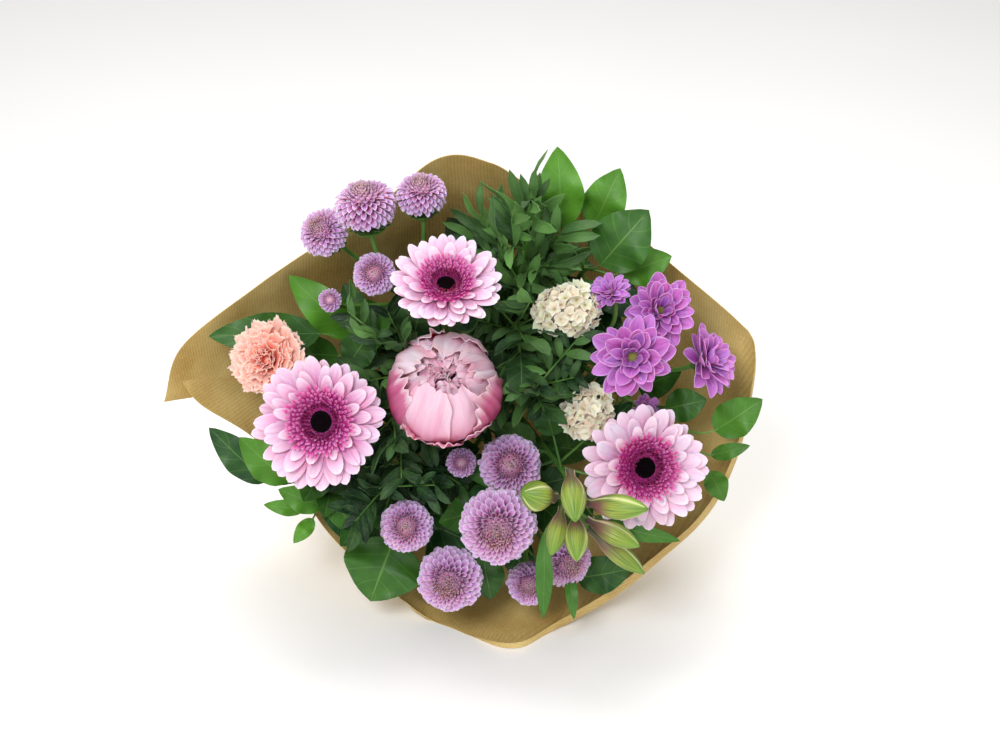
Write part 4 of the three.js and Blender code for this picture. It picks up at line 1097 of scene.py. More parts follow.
# Layers of a daisy's petals: count, share of the radius, tilt, lift and turn
DAISY_LAYERS = [
    (12, 1.0, 8, 2, 0), (10, 0.92, 22, 3.5, 0.3), (9, 0.74, 38, 5, 0.1), (7, 0.5, 54, 6, 0.4),
    (6, 0.32, 66, 7, 0),
]

STATICE_FLORETS = 46
STATICE_EDGE = math.radians(98)
STATICE_GROWTH = (1.3, 1.3, 1.05)
FLORET_TURNS = 6.28


def finish_bloom(cluster, head, kind, name, materials, nodes):
    """Turns a bloom to its place in the bouquet and makes it a piece."""
    cluster.transform(head_frame(base_of(head, kind), head["facing"]))
    finish_piece(cluster, name, materials, nodes)


def ray_petal(width, crown, droop, twist, ridge=0.02, outline=RAY_OUTLINE, columns=6, rows=9):
    """Petal one unit long: crowned across, ridged along, and drooping or curling up at its tip."""
    def place(along, across):
        half = width / 2 * outline(along)
        lift = droop * along**2.4 - crown * half * across * across
        lift += ridge * width * math.cos(3 * math.pi * across) * math.sin(math.pi * along)
        swing = twist * along * along
        return Vector((along, across * half + swing, lift + twist * across * half * along))
    return blade_form(columns, rows, place, thickness=0.012, ends=1.6)


def add_ring(cluster, forms, count, start, reach, tilt, lift, random, twist, spread, jitter, tints):
    """Adds a ring of petals that start near the axis and rise at a tilt."""
    for i in range(count):
        length = (reach * (1 - spread * random()) - start) / math.cos(math.radians(tilt))
        lean = math.radians(tilt + 5 * (random() - 0.5))
        turn = twist + 2 * math.pi * (i + jitter * (random() - 0.5)) / count
        shape = forms[int(random() * len(forms))]
        matrix = (
            Matrix.Rotation(turn, 4, "Z")
            @ Matrix.Translation((start, 0, lift + (i % 2) * 0.7))
            @ Matrix.Rotation(-lean, 4, "Y")
            @ Matrix.Diagonal((length, length * (1 if random() < 0.5 else -1), length, 1))
        )
        add_mirrored(cluster, shape, matrix, random.between(*tints))


def add_mirrored(cluster, form, matrix, tint):
    """Adds a copy whose matrix may mirror it, with its faces still pointing out."""
    if matrix.determinant() >= 0:
        add_copy(cluster, form, matrix, tint)
        return
    mirror = Matrix.Diagonal((1, -1, 1, 1))
    mirrored = form.copy()
    mirrored.transform(mirror)
    mirrored.flip_normals()
    add_copy(cluster, mirrored, matrix @ mirror, tint)
    bpy.data.meshes.remove(mirrored)


def add_florets(cluster, forms, rings, reach, cup, random):
    """Adds rings of short florets on a gerbera's middle."""
    for share, count, length, tilt in rings:
        start = share * reach
        lift = 6.2 + start * math.tan(math.radians(cup + FLORET_SLOPE))
        for i in range(count):
            turn = 2 * math.pi * (i + 0.5 * random()) / count
            size = length * reach * random.between(0.8, 1.15)
            matrix = (
                Matrix.Rotation(turn, 4, "Z")
                @ Matrix.Translation((start * random.between(0.95, 1.05), 0, lift))
                @ Matrix.Rotation(-math.radians(tilt + 12 * (random() - 0.5)), 4, "Y")
                @ Matrix.Scale(size * 1.15, 4)
            )
            add_copy(cluster, forms[int(random() * len(forms))], matrix, random(), material=1)


def make_gerbera(head, seed, settings, looks):
    """Gerbera: rays in four layers, a ring of short inner florets and a dark middle."""
    random = Draws(seed)
    name = head["name"]
    size = head["diameter"] / GERBERA_DIAMETER
    cup = head["cup"]
    reach = head["diameter"] / 2 * math.cos(math.radians(cup)) * 1.08
    ray_width = settings.ray_width * MILLIMETRES * size / reach
    rays = [
        ray_petal(ray_width * random.between(0.88, 1.1), 0.1, random.between(-0.07, 0.05),
                  random.between(-0.05, 0.05), ridge=0.05)
        for _ in range(6)
    ]
    petals = new_cluster()
    add_copy(petals, lathe_form(RAY_HUB, 16))
    for share, extent, tilt, lift, twist in GERBERA_LAYERS:
        count = round(settings.rays * share)
        add_ring(
            petals, rays, count, 3.6, reach * extent, cup + tilt, lift, random,
            twist=2 * math.pi * twist / count, spread=0.13, jitter=0.3, tints=head["pale"],
        )
    short = [ray_petal(0.36, -0.3, random.between(-0.1, 0.2), 0.0, columns=3, rows=4) for _ in range(3)]
    edge = 0.43 * reach
    swell = edge * math.tan(math.radians(cup + FLORET_SLOPE))
    dish = [(0, 5.4), (edge, 5.4 + swell), (edge, 4 + swell), (0, 4)]
    add_copy(petals, lathe_form(dish, 24), tint=0, material=1)
    add_florets(petals, short, PINK_FLORETS, reach, cup, random)
    finish_bloom(petals, head, "gerbera", f"{name}_rays", [looks["gerbera_ray"], looks["gerbera_inner"]],
                 [f"{name}_petals"])

    eye = new_cluster()
    dome = [(0, 5.6), (5.4, 5.9), (8.4 * size, 8.2), (7 * size, 9.2), (3.4 * size, 8.6), (0, 8.0)]
    add_copy(eye, lathe_form(dome, 20), tint=0)
    add_florets(eye, short, DARK_FLORETS, reach, cup, random)
    bead = lathe_form(BEAD, 6)
    for i in range(BEADS):
        radius = 5.9 * size * math.sqrt((i + 0.5) / BEADS)
        spot = towards(math.pi / 2, i * GOLDEN_ANGLE) * radius
        spot.z = 8.3 + 0.09 * radius
        scale = random.between(0.8, 1.15)
        add_copy(eye, bead, Matrix.Translation(spot) @ Matrix.Scale(scale, 4), random())
    finish_bloom(eye, head, "gerbera", f"{name}_middle", [looks["gerbera_dark"], looks["gerbera_deep"]],
                 [f"{name}_eye"])


def make_peony(head, seed, looks):
    """Peony: cupped guard petals round a crumpled heart."""
    random = Draws(seed)
    radius = head["diameter"] / 2
    centre = Vector((0, 5, radius * 0.98))
    cluster = new_cluster()
    add_copy(cluster, lathe_form(PEONY_HUB, 16), tint=0)
    for layer in PEONY_LAYERS:
        for turn in layer["turns"]:
            aim = math.radians(turn) + 0.1 * (random() - 0.5)
            form = peony_petal(layer, aim, radius, centre, random)
            tint = random.between(*layer["pink"])
            add_copy(cluster, form, tint=tint, material=layer.get("material", 0))
            bpy.data.meshes.remove(form)
    heart = Matrix.Translation((-0.08 * radius, 0.06 * radius, 0))
    for i in range(PEONY_HEART_PETALS):
        share = (i + 0.5) / PEONY_HEART_PETALS
        reach = radius * mix(0.4, 0.06, share) * random.between(0.85, 1.1)
        rim = centre.z + radius * mix(0.74, 0.84, share) * random.between(0.93, 1.05)
        width = mix(0.9, 1.6, share)
        form = fan_petal(i * GOLDEN_ANGLE, width, reach, rim, random, columns=16, teeth=0)
        # The heart's petals are tinted pink, partly as painted shade in the opening
        add_copy(cluster, form, heart, tint=random.between(0.3, 1))
        bpy.data.meshes.remove(form)
    add_copy(cluster, lathe_form(PEONY_CORE, 20, radius), tint=1)
    finish_bloom(cluster, head, "peony", "peony_bloom", [looks["peony"], looks["peony_guard"]],
                 ["peony_petals"])


def peony_petal(layer, turn, radius, centre, random):
    """Broad petal curved round a ball, with a notched and crumpled rim."""
    high = random.between(*layer["high"])
    width = layer["width"] * random.between(0.9, 1.1)
    reach = radius * (layer["size"] - 0.04 * random())
    apart = APART * random()
    notch = 0.12 * random()
    place_of_notch = random.between(-0.5, 0.5)
    sideways = Vector((-math.sin(turn), math.cos(turn), 0))

    def place(along, across):
        spread = width * (0.45 + 0.55 * math.sin(math.pi * (0.15 + 0.6 * along)))
        crease = noise.noise(Vector((1.6 * across * width, 2.2 * along, apart)))
        ruffle = noise.noise(Vector((3.8 * across * width, 3.4 * along, apart + 9)))
        angle = across / 2 * spread + 0.06 * ruffle * along
        frill = noise.noise(Vector((6 * across * width, 2, apart + 5)))
        rim = high + 0.14 * across**2 + 0.2 * across**6 + 0.16 * ruffle + 0.07 * frill
        rim += notch * math.exp(-30 * (across - place_of_notch) ** 2)
        polar = mix(2.4, rim, along)
        sunk = 0.32 * max(0, 1 - 3 * along)
        wave = layer["crumple"] * (crease + 0.7 * ruffle) * (0.2 + along**2) + 1.1 * frill * along**6
        lip = layer.get("lip", -1) * (max(0, along - 0.8) / 0.2) ** 2 * (1 - 0.9 * across**2)
        out = reach * (1 - sunk) + wave + lip
        return centre + (towards(polar, turn) * math.cos(angle) + sideways * math.sin(angle)) * out

    return blade_form(26, 16, place, thickness=0.4)


def make_carnation(head, seed, looks):
    """Carnation: fans of petals with waved and toothed rims over a long green calyx."""
    random = Draws(seed)
    radius = head["diameter"] / 2
    depth = radius * 0.86
    cluster = new_cluster()
    add_copy(cluster, lathe_form([(0, 0), (4.5, 0), (6, 8), (4, depth * 0.7), (0, depth * 0.74)], 12))
    for i in range(CARNATION_PETALS):
        share = (i + 0.5) / CARNATION_PETALS
        reach = radius * mix(1.0, 0.12, share**1.2) * random.between(0.94, 1.03)
        rim = depth * mix(0.5, 1.04, share**0.6) * random.between(0.95, 1.05)
        form = fan_petal(i * GOLDEN_ANGLE + random(), mix(1.2, 2.4, share), reach, rim, random)
        add_copy(cluster, form, tint=(1 - share) * random.between(0.5, 1.3))
        bpy.data.meshes.remove(form)
    finish_bloom(cluster, head, "carnation", "carnation_bloom", [looks["carnation"]],
                 ["carnation_petals"])


def fan_petal(turn, width, reach, rim_height, random, columns=26, teeth=1.1):
    """Fan whose rim is ruffled up and down and cut into teeth."""
    apart = APART * random()
    phase = PHASES * random()
    waves = random.between(2.2, 3.4)

    def place(along, across):
        tooth = round((across + 1) * columns / 2) % 2
        cut = teeth * (tooth - 0.5) * max(0, along - 0.88) / 0.12
        spread = width * (0.3 + 0.7 * along)
        angle = turn + across / 2 * spread
        ruffle = 1.6 * math.sin(waves * math.pi * across + phase)
        ruffle += 2.8 * noise.noise(Vector((2.2 * across, 1.2 * along, apart)))
        swell = along**1.8
        sway = 1.8 * math.cos(waves * math.pi * across + phase) * swell
        out = mix(2.5, reach, along**1.2) + cut + ruffle * swell * 0.9
        height = mix(3, rim_height, math.sqrt(along)) + (ruffle * 0.8 + cut) * swell
        return ring_point(out, angle, height) + Vector((-math.sin(angle), math.cos(angle), 0)) * sway

    return blade_form(columns, 8, place, ends=1.5)


def make_pompon(head, seed, name, nodes, looks, settings):
    """Pompon chrysanthemum: spoon-shaped petals wound over a dome, tighter towards the middle."""
    random = Draws(seed)
    radius = head["diameter"] / 2
    spoons = [
        blade_form(3, 5, spoon_place(random.between(0.9, 1.1), random.between(0.05, 0.2)), 0.02, ends=1.5)
        for _ in range(4)
    ]
    cluster = new_cluster()
    add_copy(cluster, lathe_form(POMPON_CORE, 16, radius), tint=0, material=1)
    count = round(settings.pompon_petals * min(1, radius / 20))
    heart = count // 3
    centre = Vector((0, 0, 0.7 * radius))
    for i in range(heart + count):
        if i < heart:
            polar = POMPON_HEART * math.sqrt((i + 0.5) / heart)
        else:
            polar = mix(POMPON_HEART, POMPON_EDGE, ((i - heart + 0.5) / count) ** 1.05)
        turn = i * GOLDEN_ANGLE
        grown = max(0, min(1, (polar - POMPON_HEART) / 0.75))
        out = towards(polar, turn)
        out.z *= 0.84
        tip = centre + out * radius * random.between(0.92, 1.02) * mix(0.94, 1.0, grown)
        lean = polar * mix(0.6, 1, grown) + 0.42 * grown - 0.25 * max(0, polar - 1.2)
        lean += 0.34 * (random() - 0.5)
        length = radius * mix(0.24, 0.54, grown)
        width = radius * mix(0.08, 0.2, grown**0.7) / length
        root = tip - towards(lean, turn) * length
        matrix = blade_frame(root, tip, towards(lean - math.pi / 2, turn))
        matrix = matrix @ Matrix.Diagonal((length, length * width, length * width, 1))
        tint = 0.4 * random() + (0.6 if i < 6 else 0)
        add_copy(cluster, spoons[i % len(spoons)], matrix, tint, 1 if i < heart else 0)
    finish_bloom(cluster, head, "pompon", name, [looks["pompon"], looks["pompon_heart"]],
                 nodes)


def spoon_place(width, curl):
    """Places of a short petal one unit long, hollow on its upper face and curled up at its tip."""
    def place(along, across):
        half = width / 2 * SPOON_OUTLINE(along)
        lift = curl * along**2 + 0.9 * half * across * across
        return Vector((along, across * half, lift))
    return place


def make_daisy(head, seed, name, nodes, looks):
    """Magenta daisy chrysanthemum: long pointed petals in loose rows round a green button."""
    random = Draws(seed)
    size = head["diameter"] / DAISY_DIAMETER
    radius = head["diameter"] / 2
    petals = [
        ray_petal(random.between(0.4, 0.56), -0.55, random.between(-0.12, 0.26),
                  random.between(-0.12, 0.12), ridge=0.03, outline=POINTED_OUTLINE)
        for _ in range(7)
    ]
    cluster = new_cluster()
    add_copy(cluster, lathe_form(DAISY_CORE, 12, size), tint=0, material=1)
    for count, reach, tilt, lift, twist in DAISY_LAYERS:
        add_ring(
            cluster, petals, count, 3 * size, radius * reach, tilt, lift * size, random, twist=twist,
            spread=0.22, jitter=0.9, tints=(0, 1),
        )
    finish_bloom(cluster, head, "daisy", name, [looks["magenta"], looks["button"]],
                 nodes)


def make_statice(head, seed, name, nodes, looks):
    """Statice: a low mound of papery florets, each a crumpled funnel with a yellow throat."""
    random = Draws(seed)
    wide, high, deep = [side * growth for side, growth in zip(head["size"], STATICE_GROWTH)]
    florets = [statice_floret(random) for _ in range(5)]
    cluster = new_cluster()
    mound = Matrix.Diagonal((wide / 2, high / 2, deep, 1))
    add_copy(cluster, lathe_form(STATICE_CORE, 14), mound, tint=1)
    for i in range(STATICE_FLORETS):
        polar = STATICE_EDGE * ((i + 0.5) / STATICE_FLORETS) ** 0.55
        out = towards(polar, i * GOLDEN_ANGLE)
        lobe = 0.84 + 0.26 * noise.noise(out * 1.7 + Vector((0, 0, seed)))
        height = deep * (0.2 + 0.5 * out.z * lobe)
        spot = Vector((out.x * wide / 2 * lobe, out.y * high / 2 * lobe, height))
        spot += Vector((random() - 0.5, random() - 0.5, random() - 0.3)) * 3
        facing = (out + Vector((random() - 0.5, random() - 0.5, 0.7)) * 0.7).normalized()
        matrix = head_frame(spot, facing) @ Matrix.Rotation(FLORET_TURNS * random(), 4, "Z")
        matrix = matrix @ Matrix.Scale(random.between(3.6, 5.2), 4)
        add_copy(cluster, florets[i % len(florets)], matrix, random())
    finish_bloom(cluster, head, "statice", name, [looks["statice"]], nodes)


def statice_floret(random):
    """Funnel of papery cloth with a frilled, five-lobed rim, one unit in radius."""
    phase = PHASES * random()
    apart = APART * random()

    def place(along, across):
        turn = math.pi * across
        lobe = 0.16 * math.cos(5 * turn + phase)
        frill = 0.42 * noise.noise(ring_point(2.4, turn, apart))
        reach = mix(0.02, 1 + lobe, along) + frill * along
        return ring_point(reach, turn, 0.75 * along**0.8 + frill * along)

    form = bmesh.new()
    form.from_mesh(blade_form(15, 3, place, thickness=0.06, ends=1))
    # The two side edges are merged, which leaves their walls inside
    bmesh.ops.remove_doubles(form, verts=form.verts[:], dist=0.045)
    inside = [face for face in form.faces if sum(len(edge.link_faces) > 2 for edge in face.edges) > 1]
    bmesh.ops.delete(form, geom=inside, context="FACES")
    bmesh.ops.recalc_face_normals(form, faces=form.faces[:])
    return mesh_of(form, "floret")


# Greenery

LEAF_OUTLINE = oval(0.42, 0.78)
STRAP_OUTLINE = oval(0.45, 0.75, 0.12)
LEAFLET_OUTLINE = oval(0.54, 0.55)


def leaf_form(length, width, outline, wave, seed):
    """Arched leaf in millimetres, keeled along its midrib and waved along its edges."""
    random = Draws(seed)
    phase = PHASES * random()
    twist = random.between(-0.12, 0.12)

    def place(along, across):
        half = width / 2 * outline(along)
        keel = 0.16 * (math.sqrt(half * half * across * across + 1) - 1)
        lift = 0.1 * length * math.sin(math.pi * along) ** 2 + keel
        lift += wave * math.sin(5 * math.pi * along + phase) * across * across * half * 0.12
        lift += twist * across * half * math.sin(math.pi * along)
        return Vector((along * length, across * half, lift))

    return blade_form(8, 16, place, thickness=0.4, ends=1)


def pitched_tip(root, tip, side, pitch):
    """Tip of a leaf turned up or down about its root."""
    reach = tip - root
    length = reach.length
    return root + (reach + side * math.tan(pitch) * length).normalized() * length


def fitted_tip(tree, root, tip, side):
    """Tip of a leaf as the frame has it, or None where the frame has no such leaf."""
    tips = [pitched_tip(root, tip, side, pitch) for pitch in PITCHES]
    best = min(tips, key=lambda spot: tree.find(spot)[2])
    return best if tree.find(best)[2] < FIT else None


def make_salal(spec, seed, settings, looks, room):
    """Stem with broad leaves."""
    name = spec["name"]
    tree = node_points(name)
    end = Vector(spec["target"])
    aim = Vector(spec["facing"]).normalized()
    route = fitted_route(tree, SLOTS[name], end, aim, 4, SLIM_STEM_RADIUS)[1]
    cluster = new_cluster()
    tubes = [(route, SLIM_STEM_RADIUS, SLIM_STEM_RADIUS * 0.8)]
    for i, blade in enumerate(spec["leaves"]):
        root = Vector(blade["root"])
        tip = fitted_tip(tree, root, Vector(blade["tip"]), LEAF_VIEWED_FROM)
        if tip is None:
            continue
        along = (tip - root).normalized()
        leaving = ((root - end).normalized() + aim).normalized()
        tubes.append((bend(end - aim * 5, leaving, root + along * 3, along, 8), STALK_RADIUS, 0.6))
        form = leaf_form((tip - root).length, blade["width"], LEAF_OUTLINE, 1.7, seed + i)
        add_copy(cluster, form, blade_frame(root, tip, LEAF_VIEWED_FROM), blade["shade"])
    count = settings.filling_leaves
    add_filling_leaves(cluster, tubes, route, spec["facing"], count, room, Draws(seed + 5))
    add_copy(cluster, tube_form(tubes), material=1)
    finish_piece(cluster, f"{name}_leaves", [looks["leaf"], looks["stem"]], [name])


def twig_at(root, head, spread, turn, length):
    """Direction and tip of a twig."""
    direction = (head.to_3x3() @ towards(spread, turn)).normalized()
    return direction, root + direction * length


def leaflet_tips(direction, side, face, root, tip, size, random):
    """Foot and wanted tip of each leaflet that a twig has in the frame."""
    leaflets = []
    for place, lean in LEAFLET_PLACES:
        foot = root.lerp(tip, place - 0.03)
        length = size * random.between(0.85, 1.15)
        out = (direction + side * lean * 1.15 + face * 0.25 * (random() - 0.5)).normalized()
        leaflets.append((foot, foot + out * length))
    return leaflets


def twig_sides(direction, aim):
    """Directions to the side of a twig and out of its face."""
    side = direction.cross(aim).normalized()
    return side, side.cross(direction).normalized()


def fitted_twigs(spec, tree, coarse, seed):
    """Twigs of a stem as the frame has them, each with its leaflets."""
    random = Draws(seed)
    aim = Vector(spec["facing"]).normalized()
    head = head_frame(Vector(spec["target"]), spec["facing"])
    found = []
    for i in range(spec["twigs"]):
        part = i / (spec["twigs"] - 1)
        root = back_along(coarse, TWIG_SPAN * (1 - part) + 2)
        turn = i * GOLDEN_ANGLE + random()
        length = random.between(*TWIG_LENGTH)
        for offset in TWIG_TURNS:
            direction, tip = twig_at(root, head, mix(*TWIG_SPREAD, part), turn + offset, length)
            side, face = twig_sides(direction, aim)
            peek = Draws(random.state)
            wanted = leaflet_tips(direction, side, face, root, tip, spec["leaflet"], peek)
            leaflets = [(foot, fitted_tip(tree, foot, end, face)) for foot, end in wanted]
            leaflets = [pair for pair in leaflets if pair[1] is not None]
            if leaflets:
                random.state = peek.state
                found.append((root, tip, direction, side, face, leaflets))
                break
    return found


# Points of a leaf that are tried against the blooms, as shares along it and to its sides, how far
# its sides reach for its length, and how far behind it a bloom counts
LEAF_CORNERS = [(0.1, 0), (0.4, -1), (0.4, 1), (0.75, -0.8), (0.75, 0.8), (1.05, 0)]
LEAF_SIDE = 0.24
LOOK_BEHIND = 90


def trees_of(named):
    """Search tree of the frame nodes with such names."""
    points, faces = [], []
    for name, node_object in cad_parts.items():
        if named(name):
            start = len(points)
            points += [FROM_METRES @ vert.co for vert in node_object.data.vertices]
            faces += [[start + i for i in face.vertices] for face in node_object.data.polygons]
    return BVHTree.FromPolygons(points, faces)


class Room:
    """Where foliage can go: clear of the paper and blooms, and not in front of a bloom."""

    def __init__(self):
        self.solids = trees_of(
            lambda name: not name.startswith(("salal", "pistacia")) and not name.endswith("_stem")
        )
        self.blooms = trees_of(
            lambda name: name.endswith("_petals") or "_head_" in name or name == "alstroemeria"
        )
        self.rim = paper_columns(90)

    def is_open(self, start, end):
        """Whether a straight way meets no bloom or paper."""
        reach = end - start
        return self.solids.ray_cast(start, reach.normalized(), reach.length + 2)[0] is None

    def is_in_front(self, root, tip):
        """Whether a leaf stands in front of a bloom, as the blooms are seen."""
        reach = tip - root
        aside = reach.cross(LEAF_VIEWED_FROM) * LEAF_SIDE
        spots = [root + reach * along + aside * side for along, side in LEAF_CORNERS]
        return any(
            self.blooms.ray_cast(spot, -LEAF_VIEWED_FROM, LOOK_BEHIND)[0] is not None for spot in spots
        )

    def is_inside(self, tip, share=0.93):
        """Whether a tip stays within a share of the paper's rim."""
        turn = math.atan2(tip.y, tip.x)
        rim = min(self.rim, key=lambda column: abs(math.remainder(column[2] - turn, 2 * math.pi)))[1]
        return math.hypot(tip.x, tip.y) < share * math.hypot(rim.x, rim.y)


def tilted(direction, amount, random):
    """Direction turned a little at random."""
    return (direction + Vector((random() - 0.5, random() - 0.5, random() - 0.5)) * amount).normalized()


# Filling leaves: tries for each, and the range of its lean from the stem, its distance from it, its
# length and its width for its length
FILLING_TRIES = 6
FILLING_LEANS = (0.5, 1.35)
FILLING_DISTANCES = (8, 40)
FILLING_LENGTHS = (34, 54)
FILLING_WIDTHS = (0.48, 0.62)
FILLING_SEED = 900


def add_filling_leaves(
    cluster, tubes, route, facing, count, room, random, shade=(0, 0.4), back=(4, 70), material=0
):
    """Adds broad leaves that fill the bunch round a stem, dark by default as painted shade deep in it."""
    head = head_frame(route[-1], facing)
    added = 0
    for i in range(count * FILLING_TRIES):
        start = back_along(route, random.between(*back))
        lean = random.between(*FILLING_LEANS)
        out = (head.to_3x3() @ towards(lean, i * GOLDEN_ANGLE)).normalized()
        length = random.between(*FILLING_LENGTHS)
        root = start + out * random.between(*FILLING_DISTANCES)
        tip = root + tilted(out, 0.5, random) * length
        is_free = room.is_open(start + out * 4, root) and room.is_open(root, tip)
        if not (is_free and room.is_inside(tip)) or room.is_in_front(root, tip):
            continue
        width = length * random.between(*FILLING_WIDTHS)
        form = leaf_form(length, width, LEAF_OUTLINE, 1.0, FILLING_SEED + i)
        side = tilted(LEAF_VIEWED_FROM, 0.5, random)
        add_copy(cluster, form, blade_frame(root, tip, side), random.between(*shade), material)
        tubes.append(([start, start.lerp(root, 0.5), root], STALK_RADIUS, 0.6))
        added += 1
        if added == count:
            break


# Extra twigs: how far back along the stem they start, their lean from it and their length
EXTRA_TWIG_STARTS = (4, 100)
EXTRA_TWIG_LEANS = (0.4, 1.3)
EXTRA_TWIG_LENGTHS = (36, 64)
# Places along a twig of the leaflets that fill it
FITTED_TWIG_PLACES = [0.25, 0.36, 0.5, 0.62, 0.72, 0.8, 0.92]
EXTRA_TWIG_PLACES = [0.32, 0.45, 0.55, 0.64, 0.73, 0.82, 0.9, 1]


def make_pistacia(spec, seed, settings, looks, room):
    """Stem of small-leaved foliage: twigs wound up it, each with leaflets to both sides."""
    name = spec["name"]
    tree = node_points(name)
    end = Vector(spec["target"])
    aim = Vector(spec["facing"]).normalized()
    coarse, fine = fitted_route(tree, SLOTS[name], end, aim, 5, SLIM_STEM_RADIUS)
    cluster = new_cluster()
    tubes = [(fine, SLIM_STEM_RADIUS, 1.0)]
    slim = spec.get("slim", 1)
    size = spec["leaflet"] / slim**0.6
    forms = [leaflet_form(seed + i, slim) for i in range(5)]
    random = Draws(seed + 200)

    def add_leaflet(foot, tip, face):
        length = (tip - foot).length
        matrix = blade_frame(foot, tip, face) @ Matrix.Scale(length, 4)
        add_copy(cluster, forms[int(random() * len(forms))], matrix, random.between(*spec["shade"]))

    def fill_twig(root, tip, direction, side, places, scale):
        for i, place in enumerate(places):
            foot = root.lerp(tip, place)
            lean = (1 if i % 2 else -1) * random.between(0.7, 1.4) * slim
            out = tilted(direction + side * lean, 0.7, random)
            leaf_tip = foot + out * size * scale * random.between(0.7, 1.1)
            if room.is_open(foot, leaf_tip) and not room.is_in_front(foot, leaf_tip):
                add_leaflet(foot, leaf_tip, tilted(LEAF_VIEWED_FROM, 1.3, random))

    for root, tip, direction, side, face, leaflets in fitted_twigs(spec, tree, coarse, seed):
        tubes.append(([root, root.lerp(tip, 0.5), tip], TWIG_RADIUS, 0.4))
        for foot, leaf_tip in leaflets:
            if not room.is_in_front(foot, leaf_tip):
                add_leaflet(foot, leaf_tip, face)
        fill_twig(root, tip, direction, side, FITTED_TWIG_PLACES, 0.74)

    head = head_frame(end, spec["facing"])
    for i in range(settings.extra_twigs):
        root = back_along(fine, random.between(*EXTRA_TWIG_STARTS))
        spread = random.between(*EXTRA_TWIG_LEANS) * slim
        length = random.between(*EXTRA_TWIG_LENGTHS)
        direction, tip = twig_at(root, head, spread, i * GOLDEN_ANGLE, length)
        clear = root + direction * 4
        if room.is_open(clear, tip) and room.is_inside(tip, 1.08) and not room.is_in_front(clear, tip):
            side = direction.cross(LEAF_VIEWED_FROM).normalized()
            tubes.append(([root, root.lerp(tip, 0.5), tip], TWIG_RADIUS, 0.4))
            fill_twig(root, tip, direction, side, EXTRA_TWIG_PLACES, 0.76)
    # Its filling leaves are darker still, as painted shade deep in the foliage
    add_filling_leaves(
        cluster, tubes, fine, spec["facing"], 3, room, random, shade=(0, 0.2), back=(20, 90)
    )
    add_copy(cluster, tube_form(tubes, sides=4), material=1)
    finish_piece(cluster, f"{name}_foliage", [looks["leaflet"], looks["stem"]], [name])


def leaflet_form(seed, slim=1):
    """Leaflet one unit long, arched and keeled."""
    random = Draws(seed)
    width = LEAFLET_WIDTH * slim * random.between(0.82, 1.1)
    twist = random.between(-0.15, 0.15)

    def place(along, across):
        half = width / 2 * LEAFLET_OUTLINE(along)
        lift = 0.1 * math.sin(math.pi * along) ** 2 + 0.3 * half * across * across
        return Vector((along, across * half, lift + twist * across * half * along))

    return blade_form(4, 6, place, thickness=0.014, ends=1)


def bud_form(length, width, seed):
    """Closed bud: three broad folded petals round a beak, on a slim neck."""
    random = Draws(seed)
    outline = oval(0.55, 0.8, 0.42)
    rings, sides = 18, 24
    form = new_cluster()
    layer = form.verts.layers.float_vector[PLACE]
    bmesh.ops.create_cone(
        form, cap_ends=True, cap_tris=False, segments=sides, radius1=0.5, radius2=0.5, depth=1
    )
    long_edges = [edge for edge in form.edges if abs(edge.verts[0].co.z - edge.verts[1].co.z) > 0.5]
    bmesh.ops.subdivide_edges(form, edges=long_edges, cuts=rings - 1)
    phase = PHASES * random()
    for vert in form.verts:
        along = vert.co.z + 0.5
        turn = math.atan2(vert.co.y, vert.co.x)
        fold = 1 + 0.1 * math.cos(3 * turn + phase) - 0.1 * abs(math.cos(1.5 * turn + phase / 2))
        radius = width / 2 * outline(along) * fold
        bow = 0.05 * length * math.sin(math.pi * along)
        vert[layer] = (along, math.sin(3 * turn + phase), 0.5)
        vert.co = Vector((along * length, radius * math.cos(turn), radius * math.sin(turn) + bow))
    bmesh.ops.remove_doubles(form, verts=form.verts[:], dist=0.001)
    bmesh.ops.recalc_face_normals(form, faces=form.faces[:])
    return mesh_of(form, "bud")


def make_alstroemeria(seed, settings, looks, room):
    """Alstroemeria: striped buds on slim stalks, with narrow leaves."""
    random = Draws(seed)
    spec = ALSTROEMERIA
    name = spec["name"]
    aim = Vector((0.1, -0.05, 1)).normalized()
    top = Vector(spec["centre"]) + Vector((0, 0, -26))
    route = fitted_route(node_points(name), SLOTS[name], top, aim, 5, STEM_RADIUS)[1]
    cluster = new_cluster()
    tubes = [(route, STEM_RADIUS, 2.0)]
    for i, bud in enumerate(spec["buds"]):
        root, tip = Vector(bud["root"]), Vector(bud["tip"])
        along = (tip - root).normalized()
        tubes.append((bend(top - aim * 3, aim, root + along * 2, along, 8), BRANCH_RADIUS, 1.5))
        form = bud_form((tip - root).length, bud["width"], seed + i)
        add_copy(cluster, form, blade_frame(root, tip, ALONG_THE_BUNCH), random())
    for i, blade in enumerate(spec["leaves"]):
        root, tip = Vector(blade["root"]), Vector(blade["tip"])
        along = (tip - root).normalized()
        leaving = (along + aim).normalized()
        tubes.append((bend(top, leaving, root + along * 2.5, along, 8), STALK_RADIUS, 0.6))
        form = leaf_form((tip - root).length, blade["width"], STRAP_OUTLINE, 0.8, seed + 9 * i)
        add_copy(cluster, form, blade_frame(root, tip, ALONG_THE_BUNCH), blade["shade"], material=2)
    add_filling_leaves(
        cluster, tubes, route, aim, settings.filling_leaves, room, Draws(seed + 5), material=2
    )
    add_copy(cluster, tube_form(tubes), material=1)
    finish_piece(cluster, "alstroemeria_buds", [looks["bud"], looks["stem"], looks["leaf"]],
                 [name])


